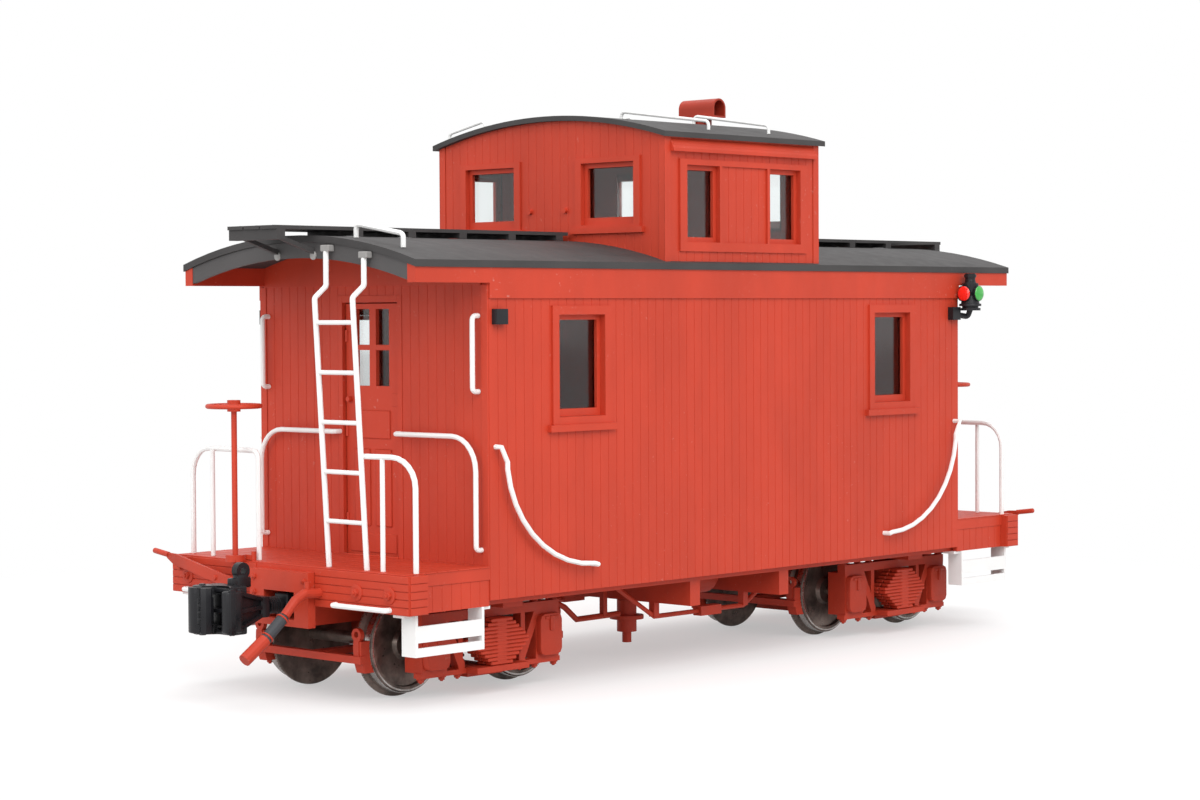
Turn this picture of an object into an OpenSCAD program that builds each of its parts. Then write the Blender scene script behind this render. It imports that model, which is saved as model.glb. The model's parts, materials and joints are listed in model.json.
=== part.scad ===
// Short eight-wheel caboose with a centre cupola, a display model for 45 mm
// gauge track.  X runs along the car (front end at -X), Y across it, +Z up.
// The origin is on the centre of the car, level with the wheel flanges' lowest
// points.  The rear end is the front end turned half round, lamps apart.

/* [Body] */
// Length of the body between its end walls' outer faces
body_len = 255; // [212:1:306]
// Width of the body over its side walls
body_w = 114; // [100:1:137]
// Thickness of the side and end walls
wall_t = 3; // [2.5:0.1:3.6]
// Height of the side walls' lower edge
side_bottom = 33.2; // [32.5:0.1:35]
// Height of the platform decks and of the cabin floor
deck_top = 43.8; // [43:0.1:48]
// Thickness of the decks and of the cabin floor
deck_t = 3.9; // [3.2:0.1:4.4]
// Height of the eave beams' underside
plate_bottom = 135.4; // [118:0.1:163]
// Depth of the letter board below the eave beams
frieze_h = 5; // [4:0.1:6]
// How far the letter board stands proud of the boarding
frieze_proud = 0.8; // [0.5:0.1:1]

/* [Roof] */
// How far the main roof passes the end walls
roof_over_end = 32.8; // [26:0.1:40]
// How far the main roof passes the side walls
roof_over_side = 1.3; // [1:0.1:2]
// Height of the roof's crown above the eave beams' underside
crown_h = 15.9; // [15:0.1:19]
// Rise of the roof from its eaves to its crown
roof_rise = 8.7; // [7.5:0.1:10]
// Thickness of the roof sheet
roof_t = 2.2; // [1.8:0.1:2.6]
// Depth of the arched boards at the roof's ends
fascia_h = 7.4; // [6:0.1:8]
// Thickness of the arched boards
fascia_t = 1.6; // [1.2:0.1:2]

/* [Cupola] */
// Length of the cupola over its end walls
cupola_len = 83.2; // [70:0.1:100]
// How far the cupola's side walls stand inside the body's
cupola_inset = 0.9; // [0.8:0.1:6]
// Height of the cupola roof's crown above the main roof's crown
cupola_h = 44.4; // [37:0.1:53]
// Rise of the cupola roof from its edges to its crown
cupola_rise = 7.9; // [7:0.1:9]
// Thickness of the cupola's walls
cupola_wall_t = 2.5; // [2:0.1:3]
// Thickness of the cupola's roof sheet
cupola_roof_t = 1.8; // [1.5:0.1:2.2]
// How far the cupola roof passes its walls
cupola_eave = 2; // [1.2:0.1:3]

/* [Windows and doors] */
// Width of a side window's opening
window_w = 22; // [18:0.1:26]
// Height of a side window's opening
window_h = 33.8; // [28:0.1:36]
// Height of a side window's opening above the floor
window_sill = 47.4; // [40:0.1:50]
// Distance of a side window's middle from the body's end
window_inset = 42.7; // [36:0.1:50]
// Width of a door leaf
door_w = 26.8; // [24:0.1:32.2]
// Height of a door leaf
door_h = 84.8; // [70:0.1:86]
// Thickness of a door leaf
door_t = 1.5; // [1.2:0.1:1.8]
// Gap round a door leaf
door_gap = 0.4; // [0.3:0.05:0.6]

/* [Trucks] */
// Distance of a truck's centre from the body's end
truck_inset = 17.5; // [14:0.5:22]
// Distance between a truck's axles
wheelbase = 52; // [50:0.5:60]
// Radius of the wheels' treads
tread_r = 16; // [14:0.1:16.5]
// Depth of the wheel flanges
flange_h = 1.5; // [1.2:0.1:1.6]
// Distance between the wheels' inner faces
back_to_back = 41; // [40:0.1:42]
// Width of a wheel
wheel_w = 6.3; // [5.5:0.1:6.5]
// Radius of an axle's journal
journal_r = 1.5; // [1.3:0.05:1.8]
// Running clearance of journals, pins and swivels
fit = 0.06; // [0.03:0.01:0.08]

/* [Ends] */
// Length of a platform, from the end wall to the end beam's face
platform_len = 37.5; // [34:0.5:46]
// Thickness of an end beam, along the car
end_beam_t = 8; // [7:0.1:10]
// How far the end beams pass the side walls
beam_over = 2.6; // [1.6:0.1:4]
// Height of the end beams' and side sills' underside
beam_bottom = 31.4; // [31:0.1:32]
// Height of the couplers' middle line
coupler_z = 31.3; // [30:0.1:31.5]
// Radius of ladder rails and railings
rail_r = 0.9; // [0.7:0.05:1.1]
// Radius of grab irons
grab_r = 0.85; // [0.7:0.05:1.1]

/* [Hidden] */

eps = 0.01;
seat = 0.05;                 // gap under curved seats
body_x = body_len / 2;
body_y = body_w / 2;
wall_in = body_y - wall_t;   // inner face of the side walls
floor_z = deck_top - deck_t; // underside of floor and decks
frieze_y = body_y + frieze_proud;
crown_z = plate_bottom + crown_h;
roof_len = body_len + 2 * roof_over_end;
roof_w = body_w + 2 * roof_over_side;
roof_x = roof_len / 2;
roof_y = roof_w / 2;
roof_r = (roof_y * roof_y + roof_rise * roof_rise) / (2 * roof_rise);
arch_fn = 720;
cup_x = cupola_len / 2;
cup_y = body_y - cupola_inset;
cup_in = cup_y - cupola_wall_t;
cup_crown = crown_z + cupola_h;
cup_roof_x = cup_x + cupola_eave + 0.3;
cup_roof_y = cup_y + cupola_eave;
cup_roof_r = (cup_roof_y * cup_roof_y + cupola_rise * cupola_rise) / (2 * cupola_rise);
beam_x = body_x + platform_len;          // end beam's outer face
beam_in = beam_x - end_beam_t;           // end beam's inner face
beam_y = body_y + beam_over;             // end beam's ends
eave_x = roof_x - 0.5;
fascia_x = roof_x - 0.7;
axle_z = tread_r + flange_h;
truck_x = body_x - truck_inset;
wheel_in = back_to_back / 2;
wheel_out = wheel_in + wheel_w;

red = "firebrick";
dark = "dimgray";
white = "white";
black = "black";

// height of a roof's top surface at distance y from the middle
function arch_z(y, crown, r) = crown - r + sqrt(r * r - y * y);

// ---------------------------------------------------------------- helpers
// a box between two corners
module span(a, b) { translate(a) cube(b - a); }

// the same thing at the front end (turn = 0) or at the rear end (turn = 180)
module at_end(turn) { rotate([0, 0, turn]) children(); }

// the four mirror images of a thing about the car's middle
module four_ways() {
    for (sx = [0, 1], sy = [0, 1]) mirror([sx, 0, 0]) mirror([0, sy, 0]) children();
}

// the two mirror images of a thing about the X-Z plane
module both_sides() { for (s = [0, 1]) mirror([0, s, 0]) children(); }

// cylinders along Y and X
module rod_y(x, z, r, y0, y1) {
    translate([x, y0, z]) rotate([-90, 0, 0]) cylinder(h = y1 - y0, r = r, $fn = 48);
}
module rod_x(y, z, r, x0, x1) {
    translate([x0, y, z]) rotate([0, 90, 0]) cylinder(h = x1 - x0, r = r, $fn = 48);
}
module rod_z(x, y, r, z0, z1) { translate([x, y, z0]) cylinder(h = z1 - z0, r = r, $fn = 48); }

// everything under (or over) an arch of radius r whose crown is at z
module arch_bar(len, z, r) {
    translate([-len / 2, 0, z - r]) rotate([0, 90, 0]) cylinder(h = len, r = r, $fn = arch_fn);
}

// an arched sheet with its crown at z
module arch_sheet(len, w, z, r, t) {
    intersection() {
        difference() {
            arch_bar(len, z, r);
            arch_bar(len + 2, z - t, r - t);
        }
        span([-len, -w / 2, z - w / 3], [len, w / 2, z + 1]);
    }
}

// ---- bent rods: a rod of radius r along points whose corners are rounded
function unit(v) = v / norm(v);
function arc_points(a, b, c, r, k) =
    let (u = unit(a - b), v = unit(c - b), ang = acos(u * v),
         d = r / tan(ang / 2), m = b + unit(u + v) * (r / sin(ang / 2)),
         w0 = b + u * d - m, w1 = b + v * d - m, turn = 180 - ang)
    [for (i = [0 : k]) m + (sin((1 - i / k) * turn) * w0 + sin(i / k * turn) * w1) / sin(turn)];
function bent(p, r, k = 4) = [
    p[0],
    for (i = [1 : len(p) - 2]) each arc_points(p[i - 1], p[i], p[i + 1], r, k),
    p[len(p) - 1]];
function tangent(p, i) =
    i == 0 ? unit(p[1] - p[0]) :
    i == len(p) - 1 ? unit(p[i] - p[i - 1]) :
    unit(unit(p[i + 1] - p[i]) + unit(p[i] - p[i - 1]));
function start_normal(t) = unit(cross(t, abs(t[2]) < 0.8 ? [0, 0, 1] : [1, 0, 0]));
function carried(n, t) = unit(n - (n * t) * t);
function normals(p, i = 0, found = []) =
    i == len(p) ? found :
    normals(p, i + 1, concat(found,
        [carried(i == 0 ? start_normal(tangent(p, 0)) : found[i - 1], tangent(p, i))]));
module bent_rod(p, r, sides = 8) {
    n = normals(p);
    rings = len(p);
    points = [for (i = [0 : rings - 1], j = [0 : sides - 1])
        let (t = tangent(p, i), side = cross(t, n[i]), a = 360 * j / sides)
        p[i] + r * (cos(a) * n[i] + sin(a) * side)];
    faces = concat(
        [[for (j = [0 : sides - 1]) j]],
        [[for (j = [0 : sides - 1]) rings * sides - 1 - j]],
        [for (i = [0 : rings - 2], j = [0 : sides - 1])
            let (k = (j + 1) % sides)
            [i * sides + j, (i + 1) * sides + j, (i + 1) * sides + k, i * sides + k]]);
    polyhedron(points, faces);
}

// ---------------------------------------------------------------- underframe
module floor() {
    color(red) span([-body_x, -wall_in, floor_z], [body_x, wall_in, deck_top]);
}

sill_w = 4.4;
module side_sills() {
    color(red) both_sides()
        span([-beam_in, wall_in - sill_w, beam_bottom], [beam_in, wall_in, floor_z]);
}

centre_in = 7;
centre_w = 5;
module centre_sills() {
    color(red) both_sides()
        span([-beam_in, centre_in, beam_bottom], [beam_in, centre_in + centre_w, floor_z]);
}

bolster_half = 4.5;
bolster_y = wall_in - sill_w;
bolster_end_z = beam_bottom - 2.2;
bolster_mid_z = beam_bottom - 3.5;
plate_r = 8;
plate_z = bolster_mid_z - 1.2;     // body centre plate's underside
king_r = 2.5;
king_z = 16;
module body_bolsters() {
    color(red) for (s = [-1, 1]) translate([s * truck_x, 0, 0]) {
        span([-bolster_half, -bolster_y, bolster_end_z], [bolster_half, bolster_y, beam_bottom]);
        span([-bolster_half, -16, bolster_mid_z], [bolster_half, 16, bolster_end_z + eps]);
        rod_z(0, 0, plate_r, plate_z, bolster_mid_z + eps);
        rod_z(0, 0, king_r, king_z, plate_z + eps);
    }
}

needle_x = 24.4;
needle_t = 5.2;
needle_z = 22.7;
module needle_beams() {
    color(red) for (s = [-1, 1])
        span([s * needle_x - needle_t / 2, -wall_in, needle_z],
             [s * needle_x + needle_t / 2, wall_in, beam_bottom]);
}

skirt_t = 2;
skirt_y = body_y - 0.4;
module platform(turn) {
    color(red) at_end(turn) {
        span([-beam_in, -body_y, floor_z], [-body_x, body_y, deck_top]);
        both_sides() span([-beam_in, skirt_y - skirt_t, beam_bottom], [-body_x, skirt_y, floor_z + eps]);
    }
}
module platform_front() { platform(0); }
module platform_rear() { platform(180); }

striker_t = 3;
striker_y = 14.7;
pocket_y = 7.6;
pocket_z0 = coupler_z - 4.6;
pocket_z1 = coupler_z + 4.4;
draft_z = 24.4;
draft_y = 9.6;
draft_x0 = beam_x - 24;
pivot_x = beam_x - 19;
pivot_r = 1.5;
shank_half_z = 3.6;
module end_beam(turn) {
    color(red) at_end(turn) {
        difference() {
            union() {
                span([-beam_x, -beam_y, beam_bottom], [-beam_in, beam_y, deck_top]);
                span([-beam_x - striker_t, -striker_y, draft_z], [-beam_x + eps, striker_y, deck_top - 1.4]);
            }
            span([-beam_x - striker_t - 1, -pocket_y, pocket_z0], [-beam_in + 1, pocket_y, pocket_z1]);
        }
        // draft box that carries the coupler's shank, with its pivot pin
        span([-beam_x, -draft_y, draft_z], [-draft_x0, draft_y, draft_z + 1.6]);
        both_sides() span([-beam_x, pocket_y, draft_z], [-draft_x0, draft_y, beam_bottom]);
        rod_z(-pivot_x, 0, pivot_r, draft_z + 1, coupler_z + shank_half_z + 1.6);
    }
}
module end_beam_front() { end_beam(0); }
module end_beam_rear() { end_beam(180); }

// ---------------------------------------------------------------- walls
casing_w = 3;
casing_t = 0.9;
sill_proud = 1.9;
window_x = body_x - window_inset;
window_z = deck_top + window_sill;
module side_wall() {
    difference() {
        union() {
            span([-body_x, wall_in, side_bottom], [body_x, body_y, plate_bottom]);
            span([-body_x, body_y - eps, plate_bottom - frieze_h], [body_x, frieze_y, plate_bottom]);
            for (s = [-1, 1]) translate([s * window_x, 0, window_z]) {
                span([-window_w / 2 - casing_w, body_y - eps, -2.6],
                     [window_w / 2 + casing_w, body_y + casing_t, window_h + casing_w]);
                span([-window_w / 2 - casing_w - 2, body_y - eps, -4.8],
                     [window_w / 2 + casing_w + 2, body_y + sill_proud, -2.6 + eps]);
            }
        }
        for (s = [-1, 1]) translate([s * window_x, 0, window_z])
            span([-window_w / 2, wall_in - 1, 0], [window_w / 2, body_y + 3, window_h]);
    }
}
module side_wall_left() { color(red) side_wall(); }
module side_wall_right() { color(red) mirror([0, 1, 0]) side_wall(); }

doorway_y = door_w / 2 + door_gap;
doorway_z = deck_top + door_h + 2 * door_gap;
end_frieze_z = plate_bottom - 0.5;
module end_wall(turn) {
    color(red) at_end(turn) difference() {
        intersection() {
            union() {
                span([-body_x, -wall_in, deck_top], [-body_x + wall_t, wall_in, crown_z]);
                span([-body_x - frieze_proud, -wall_in, end_frieze_z], [-body_x + eps, wall_in, crown_z]);
            }
            arch_bar(body_len + 10, crown_z - roof_t - seat, roof_r - roof_t - seat);
        }
        span([-body_x - 1, -doorway_y, deck_top - 1], [-body_x + wall_t + 1, doorway_y, doorway_z]);
    }
}
module end_wall_front() { end_wall(0); }
module end_wall_rear() { end_wall(180); }

// eave beams: they rest on the side walls and run out over the platforms
module eave_beams() {
    color(red) intersection() {
        both_sides() span([-eave_x, wall_in, plate_bottom], [eave_x, frieze_y, crown_z]);
        arch_bar(roof_len, crown_z - roof_t - seat, roof_r - roof_t - seat);
    }
}

// ---------------------------------------------------------------- doors
door_x = body_x - wall_t + 0.3;        // leaf's inner face
door_z0 = deck_top + door_gap;
pane_w = 6.6;
muntin = 3.2;
pane_h = 12;
pane_z = door_z0 + 57.2;
muntin_z = 1.8;
door_hinge_y = door_w / 2 + 0.1;
knob_y = 11.2;
knob_z = door_z0 + 52.6;
module door(turn) {
    color(red) at_end(turn) {
        difference() {
            span([-door_x - door_t, -door_w / 2, door_z0], [-door_x, door_w / 2, door_z0 + door_h]);
            for (i = [-1, 1], k = [0, 1])
                translate([-door_x - door_t / 2, i * (pane_w + muntin) / 2, pane_z + k * (pane_h + muntin_z)])
                    span([-door_t, -pane_w / 2, 0], [door_t, pane_w / 2, pane_h]);
        }
        rod_x(knob_y, knob_z, 0.9, -door_x - door_t - 1.6, -door_x - door_t + eps);
    }
}
module door_front() { door(0); }
module door_rear() { door(180); }

glass_t = 0.5;
module door_glass(turn) {
    color("lightblue", 0.4) at_end(turn)
        span([-door_x, -pane_w - muntin, pane_z - 1.5],
             [-door_x + glass_t, pane_w + muntin, pane_z + 2 * pane_h + muntin_z + 1.5]);
}
module door_glass_front() { door_glass(0); }
module door_glass_rear() { door_glass(180); }

// ---------------------------------------------------------------- windows
// cupola side windows: middle from the cupola's middle, width, height above
// the main roof's crown, height
cup_side_w = 17.3;
cup_side_x = 22.35;
cup_side_z = crown_z - 1.4;
cup_side_h = 26.8;
cup_end_w = 25.2;
cup_end_y = 29.4;
cup_end_z = crown_z + 5.1;
cup_end_h = 21.8;
sash_w = 1.7;
sash_t = 1.2;
sash_play = 0.05;
sash_back = 0.3;
// a sash in an opening w by h, its lower edge on z = 0, its plane X-Z, its
// inner face on y = 0
module sash(w, h, bottom_rail) {
    difference() {
        span([-w / 2 + sash_play, 0, sash_play], [w / 2 - sash_play, sash_t, h - sash_play]);
        span([-w / 2 + sash_w, -1, bottom_rail], [w / 2 - sash_w, sash_t + 1, h - sash_w]);
    }
}
module window_sashes() {
    color(red) {
        four_ways() translate([window_x, wall_in + sash_back, window_z]) sash(window_w, window_h, 2.6);
        four_ways() translate([cup_side_x, cup_in + sash_back, cup_side_z]) sash(cup_side_w, cup_side_h, 1.8);
        four_ways() translate([cup_x - cupola_wall_t + sash_back, cup_end_y, cup_end_z])
            rotate([0, 0, -90]) sash(cup_end_w, cup_end_h, 2.6);
    }
}
// glass sheets on the walls' inner faces
glass_lap = 1.2;
module window_glass() {
    color("lightblue", 0.4) four_ways() {
        span([window_x - window_w / 2 - glass_lap, wall_in - glass_t, window_z - glass_lap],
             [window_x + window_w / 2 + glass_lap, wall_in, window_z + window_h + glass_lap]);
        span([cup_side_x - cup_side_w / 2 - glass_lap, cup_in - glass_t, cup_side_z + glass_lap],
             [cup_side_x + cup_side_w / 2 + glass_lap, cup_in, cup_side_z + cup_side_h + glass_lap]);
        span([cup_x - cupola_wall_t - glass_t, cup_end_y - cup_end_w / 2 - glass_lap, cup_end_z - glass_lap],
             [cup_x - cupola_wall_t, cup_end_y + cup_end_w / 2 - glass_lap, cup_end_z + cup_end_h + glass_lap]);
    }
}

// ---------------------------------------------------------------- main roof
hole_x = cup_x - cupola_wall_t;
hole_y = cup_in;
module main_roof() {
    color(dark) difference() {
        arch_sheet(roof_len, roof_w, crown_z, roof_r, roof_t);
        span([-hole_x, -hole_y, crown_z - 30], [hole_x, hole_y, crown_z + 5]);
    }
}

module roof_fascias() {
    color(dark) for (turn = [0, 180]) at_end(turn) intersection() {
        difference() {
            arch_bar(roof_len, crown_z - roof_t - seat, roof_r - roof_t - seat);
            arch_bar(roof_len + 2, crown_z - fascia_h, roof_r - fascia_h);
        }
        span([-fascia_x, -wall_in, plate_bottom - 10], [-fascia_x + fascia_t, wall_in, crown_z]);
    }
}

walk_end = beam_x + 13;
walk_start = cup_x + 2.6;
walk_top = crown_z + 2.8;
walk_t = 1.2;
walk_board = 7.6;
walk_gap = 0.7;
walk_y = (3 * walk_board + 2 * walk_gap) / 2;
cleat_x = 3.4;
cleat_first = walk_start + 2.6;
cleat_step = 23.5;
strut_y = 9;
strut_z = crown_z - 5.4;
module roof_walk(turn) {
    cleats = floor((roof_x - cleat_first) / cleat_step);
    color(dark) at_end(turn) {
        for (i = [0 : 2]) let (y0 = -walk_y + i * (walk_board + walk_gap))
            span([-walk_end, y0, walk_top - walk_t], [-walk_start, y0 + walk_board, walk_top]);
        difference() {
            for (i = [0 : cleats]) let (x0 = -cleat_first - i * cleat_step)
                span([x0 - cleat_x, -walk_y, crown_z - 2], [x0, walk_y, walk_top - walk_t + eps]);
            arch_bar(2 * roof_len, crown_z + seat, roof_r + seat);
        }
        span([-walk_end + 0.6, -walk_y, walk_top - walk_t - 3.4],
             [-walk_end + 0.6 + cleat_x, walk_y, walk_top - walk_t + eps]);
        for (s = [-1, 1]) hull() {
            span([-fascia_x - 0.6, s * strut_y - 0.8, strut_z - 0.7], [-fascia_x, s * strut_y + 0.8, strut_z + 0.7]);
            span([-walk_end + cleat_x, s * strut_y - 0.8, walk_top - walk_t - 3],
                 [-walk_end + cleat_x + 0.6, s * strut_y + 0.8, walk_top - walk_t - 1.8]);
        }
    }
}
module roof_walk_front() { roof_walk(0); }
module roof_walk_rear() { roof_walk(180); }

// ---------------------------------------------------------------- cupola
module cupola_clip() {
    difference() {
        arch_bar(2 * cupola_len, cup_crown - cupola_roof_t - seat, cup_roof_r - cupola_roof_t - seat);
        arch_bar(3 * cupola_len, crown_z + seat, roof_r + seat);
    }
}
module cupola_end(turn) {
    color(red) at_end(turn) intersection() {
        difference() {
            union() {
                span([-cup_x, -cup_in, crown_z - 20], [-cup_x + cupola_wall_t, cup_in, cup_crown]);
                both_sides() {
                    span([-cup_x - casing_t, cup_end_y - cup_end_w / 2 - casing_w, cup_end_z - 1],
                         [-cup_x + eps, cup_end_y + cup_end_w / 2 + casing_w, cup_end_z + cup_end_h + 2]);
                    span([-cup_x - 1.6, cup_end_y - cup_end_w / 2 - casing_w - 1.6, cup_end_z - 3],
                         [-cup_x + eps, cup_end_y + cup_end_w / 2 + casing_w + 1.6, cup_end_z - 1 + eps]);
                    rod_x(8.8, cup_end_z + 5.5, 0.9, -cup_x - 1.4, -cup_x + eps);
                }
            }
            both_sides() span([-cup_x - 3, cup_end_y - cup_end_w / 2, cup_end_z],
                              [-cup_x + cupola_wall_t + 1, cup_end_y + cup_end_w / 2, cup_end_z + cup_end_h]);
        }
        cupola_clip();
    }
}
module cupola_end_front() { cupola_end(0); }
module cupola_end_rear() { cupola_end(180); }

drip_z = cup_crown - 14.3;
module cupola_side() {
    intersection() {
        difference() {
            union() {
                span([-cup_x, cup_in, crown_z - 20], [cup_x, cup_y, cup_crown]);
                span([-cup_x + 2.6, cup_y - eps, drip_z], [cup_x - 2.6, cup_y + 1.7, drip_z + 2.4]);
                difference() {
                    span([-cup_x + 7, cup_y - eps, cup_side_z - 3.2],
                         [cup_x - 7, cup_y + casing_t, cup_side_z + cup_side_h + 2]);
                    span([-cup_side_x + 10, cup_y - 1, cup_side_z], [cup_side_x - 10, cup_y + 3, cup_side_z + cup_side_h]);
                }
            }
            for (s = [-1, 1]) span([s * cup_side_x - cup_side_w / 2, cup_in - 1, cup_side_z],
                                   [s * cup_side_x + cup_side_w / 2, cup_y + 3, cup_side_z + cup_side_h]);
        }
        cupola_clip();
    }
}
module cupola_side_left() { color(red) cupola_side(); }
module cupola_side_right() { color(red) mirror([0, 1, 0]) cupola_side(); }

module cupola_roof() {
    color(dark) arch_sheet(2 * cup_roof_x, 2 * cup_roof_y, cup_crown, cup_roof_r, cupola_roof_t);
}

jack_x = 26;
jack_y = -14;
jack_r = 3.6;
hood_r = 3.55;
hood_len = 17;
hood_z = cup_crown + 5.4;
hood_t = 0.7;
module smoke_jack() {
    color(red) {
        difference() {
            rod_z(jack_x, jack_y, jack_r, cup_crown - 4, hood_z - hood_r + hood_t);
            arch_bar(3 * cupola_len, cup_crown + seat, cup_roof_r + seat);
        }
        difference() {
            union() {
                rod_y(jack_x, hood_z, hood_r, jack_y - hood_len / 2, jack_y + hood_len / 2);
                span([jack_x - hood_r, jack_y - hood_len / 2, hood_z - hood_r],
                     [jack_x + hood_r, jack_y + hood_len / 2, hood_z]);
            }
            rod_y(jack_x, hood_z, hood_r - hood_t, jack_y - hood_len, jack_y + hood_len);
            span([jack_x - hood_r + hood_t, jack_y - hood_len, hood_z - hood_r + hood_t],
                 [jack_x + hood_r - hood_t, jack_y + hood_len, hood_z]);
        }
    }
}

// a rail that stands h above the points a and b of a roof and ends on it
function hoop(a, b, h) = bent([a, a + [0, 0, h], b + [0, 0, h], b], 1.6, 3);
function on_roof(x, y) = [x, y, arch_z(y, crown_z, roof_r) + seat];
function on_cupola(x, y) = [x, y, arch_z(y, cup_crown, cup_roof_r) + seat];
// grab irons across the cupola's roof: x, inner end y, outer end y
cup_grabs = [[-11.7, -8, 6.1 - cup_y], [jack_x - 4.6, -14, 6.1 - cup_y],
             [1.6 - cup_x, 34, cup_y - 3.1], [11.7, 8, cup_y - 6.1]];
module roof_grabs() {
    color(white) {
        for (turn = [0, 180]) at_end(turn)
            bent_rod(hoop(on_roof(-roof_x + 9, -20.5), on_roof(-roof_x + 9, -43), 4.4), grab_r);
        for (g = cup_grabs) bent_rod(hoop(on_cupola(g[0], g[1]), on_cupola(g[0], g[2]), 3), 0.6);
    }
}

// ---------------------------------------------------------------- ladders, railings
ladder_x = beam_x - 3.8;
ladder_y = [-17.3, -35.6];
ladder_out = beam_x + 1.4;
ladder_hang = fascia_x + 1.9;
hang_drop = 3.8;
jog_top = plate_bottom - 0.8;
jog_low = plate_bottom - 4.6;
rung_first = 15.3;
rung_step = 15.95;
rung_r = 0.75;
rail_z = deck_top + 36.6;
post_x = beam_x - 4.2;
post_out_x = beam_x - 6.2;
post_out_y = body_y - 1;
post_mid_y = 42.8;
post_in_y = 18.5;
module ladder(turn) {
    color(white) at_end(turn) {
        for (y = ladder_y) let (hang_z = arch_z(y, crown_z, roof_r) - hang_drop) bent_rod(bent([
            [-fascia_x, y, hang_z], [-ladder_hang, y, hang_z], [-ladder_hang, y, jog_top],
            [-ladder_out, y, jog_low], [-ladder_x, y, deck_top]], 1.5, 3), rail_r);
        for (i = [0 : 4]) {
            z = deck_top + rung_first + i * rung_step;
            x = -ladder_x - (ladder_out - ladder_x) * (z - deck_top) / (jog_low - deck_top);
            rod_y(x, z, rung_r, ladder_y[1], ladder_y[0]);
        }
        bent_rod(bent([
            [-post_out_x, -post_out_y, deck_top], [-post_out_x, -post_out_y, rail_z],
            [-post_x - 1.2, ladder_y[1], rail_z]], 9.5, 6), rail_r);
        rod_z(-post_x, -post_mid_y, rail_r - 0.1, deck_top, rail_z - 0.3);
    }
}
module ladder_front() { ladder(0); }
module ladder_rear() { ladder(180); }

module railing(turn) {
    color(white) at_end(turn) {
        bent_rod(concat(
            [[-post_out_x, post_out_y, deck_top]],
            arc_points([-post_out_x, post_out_y, deck_top], [-post_out_x, post_out_y, rail_z],
                       [-post_x, post_in_y, rail_z], 9.5, 6),
            arc_points([-post_out_x, post_out_y, rail_z], [-post_x, post_in_y, rail_z],
                       [-post_x, post_in_y, deck_top], 3, 4),
            [[-post_x, post_in_y, deck_top]]), rail_r);
        rod_z(-post_x, post_mid_y, rail_r - 0.1, deck_top, rail_z - 0.3);
    }
}
module railing_front() { railing(0); }
module railing_rear() { railing(180); }

// ---------------------------------------------------------------- grab irons
grab_off = 3;
module side_grabs() {
    // curved hand rails beside the steps: a short foot, then an arc that sweeps
    // down and in along the side
    arc_x = 41;
    arc_h = 40.5;
    foot_z = deck_top + 38.8;
    y = body_y + grab_off;
    sweep = [for (a = [7 : 83 / 9 : 90 + eps])
        [-body_x + 45 - arc_x * cos(a) + 1.0, y, foot_z - 2.6 - (arc_h - 2.6) * sin(a)]];
    p = concat(
        [[-body_x + 2.6, body_y, foot_z], [-body_x + 2.6, y, foot_z]],
        [sweep[0] + [0, 0, 2.2]],
        sweep,
        [[-body_x + 47.4, y, foot_z - arc_h - 0.4], [-body_x + 47.4, body_y, foot_z - arc_h - 0.4]]);
    color(white) four_ways() bent_rod(p, grab_r);
}

corner_grab_y = wall_in - 1.4;
rail_end_y = wall_in - 0.2;
module end_grabs() {
    color(white) for (turn = [0, 180]) at_end(turn) {
        x = -body_x;
        xo = -body_x - grab_off;
        both_sides() {
            // hand rail beside the door, out to the corner and down
            let (a = [xo, 15, deck_top + 42], b = [xo, rail_end_y, deck_top + 42],
                 c = [xo, rail_end_y, deck_top + 5.5], d = [x, rail_end_y, deck_top + 5.5])
                bent_rod(concat([[x, 15, deck_top + 42]], arc_points([x, 15, deck_top + 42], a, b, 1.3, 3),
                                arc_points(a, b, c, 11, 7), arc_points(b, c, d, 1.3, 3), [d]), grab_r);
            // short upright grab at the corner, under the eave
            bent_rod(bent([[x, corner_grab_y, deck_top + 81], [xo, corner_grab_y, deck_top + 81],
                           [xo, corner_grab_y, deck_top + 56.6], [x, corner_grab_y, deck_top + 56.6]], 1.3, 3),
                     grab_r);
            // level grab low on the end beam
            bent_rod(bent([[-beam_x, 25.5, beam_bottom + 1.4], [-beam_x - 2.6, 25.5, beam_bottom + 1.4],
                           [-beam_x - 2.6, 51, beam_bottom + 1.4], [-beam_x, 51, beam_bottom + 1.4]], 1.2, 3),
                     grab_r);
        }
    }
}

staff_y = 23.5;
staff_x = beam_x + 1.9;
staff_r = 0.95;
brake_wheel_r = 9.4;
brake_wheel_z = deck_top + 51.5;
module brake_staffs() {
    color(red) for (turn = [0, 180]) at_end(turn) translate([-staff_x, staff_y, 0]) {
        rod_z(0, 0, staff_r, beam_bottom - 2, brake_wheel_z);
        rod_z(0, 0, 2.2, brake_wheel_z - 1.8, brake_wheel_z + 2);
        rotate_extrude($fn = 96) translate([brake_wheel_r - 0.8, brake_wheel_z])
            circle(r = 0.8, $fn = 24);
        for (a = [0 : 72 : 288]) rotate([0, 0, a])
            rod_x(0, brake_wheel_z, 0.6, 1, brake_wheel_r - 0.8);
        rod_z(0, 0, 3.2, deck_top, deck_top + 2.2);                 // ratchet
        span([-2.4, -2.6, deck_top], [6.4, 2.6, deck_top + 0.6]);   // foot plate
        span([-2.2, -1.2, beam_bottom + 5], [1.9, 1.2, beam_bottom + 7]);   // lower guide
        rod_z(3.6, -5.2, 0.8, deck_top, deck_top + 3.4);            // pawl stud
        span([2.4, -5.2, deck_top + 0.6], [4.6, -2.2, deck_top + 2.2]);
    }
}

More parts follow.
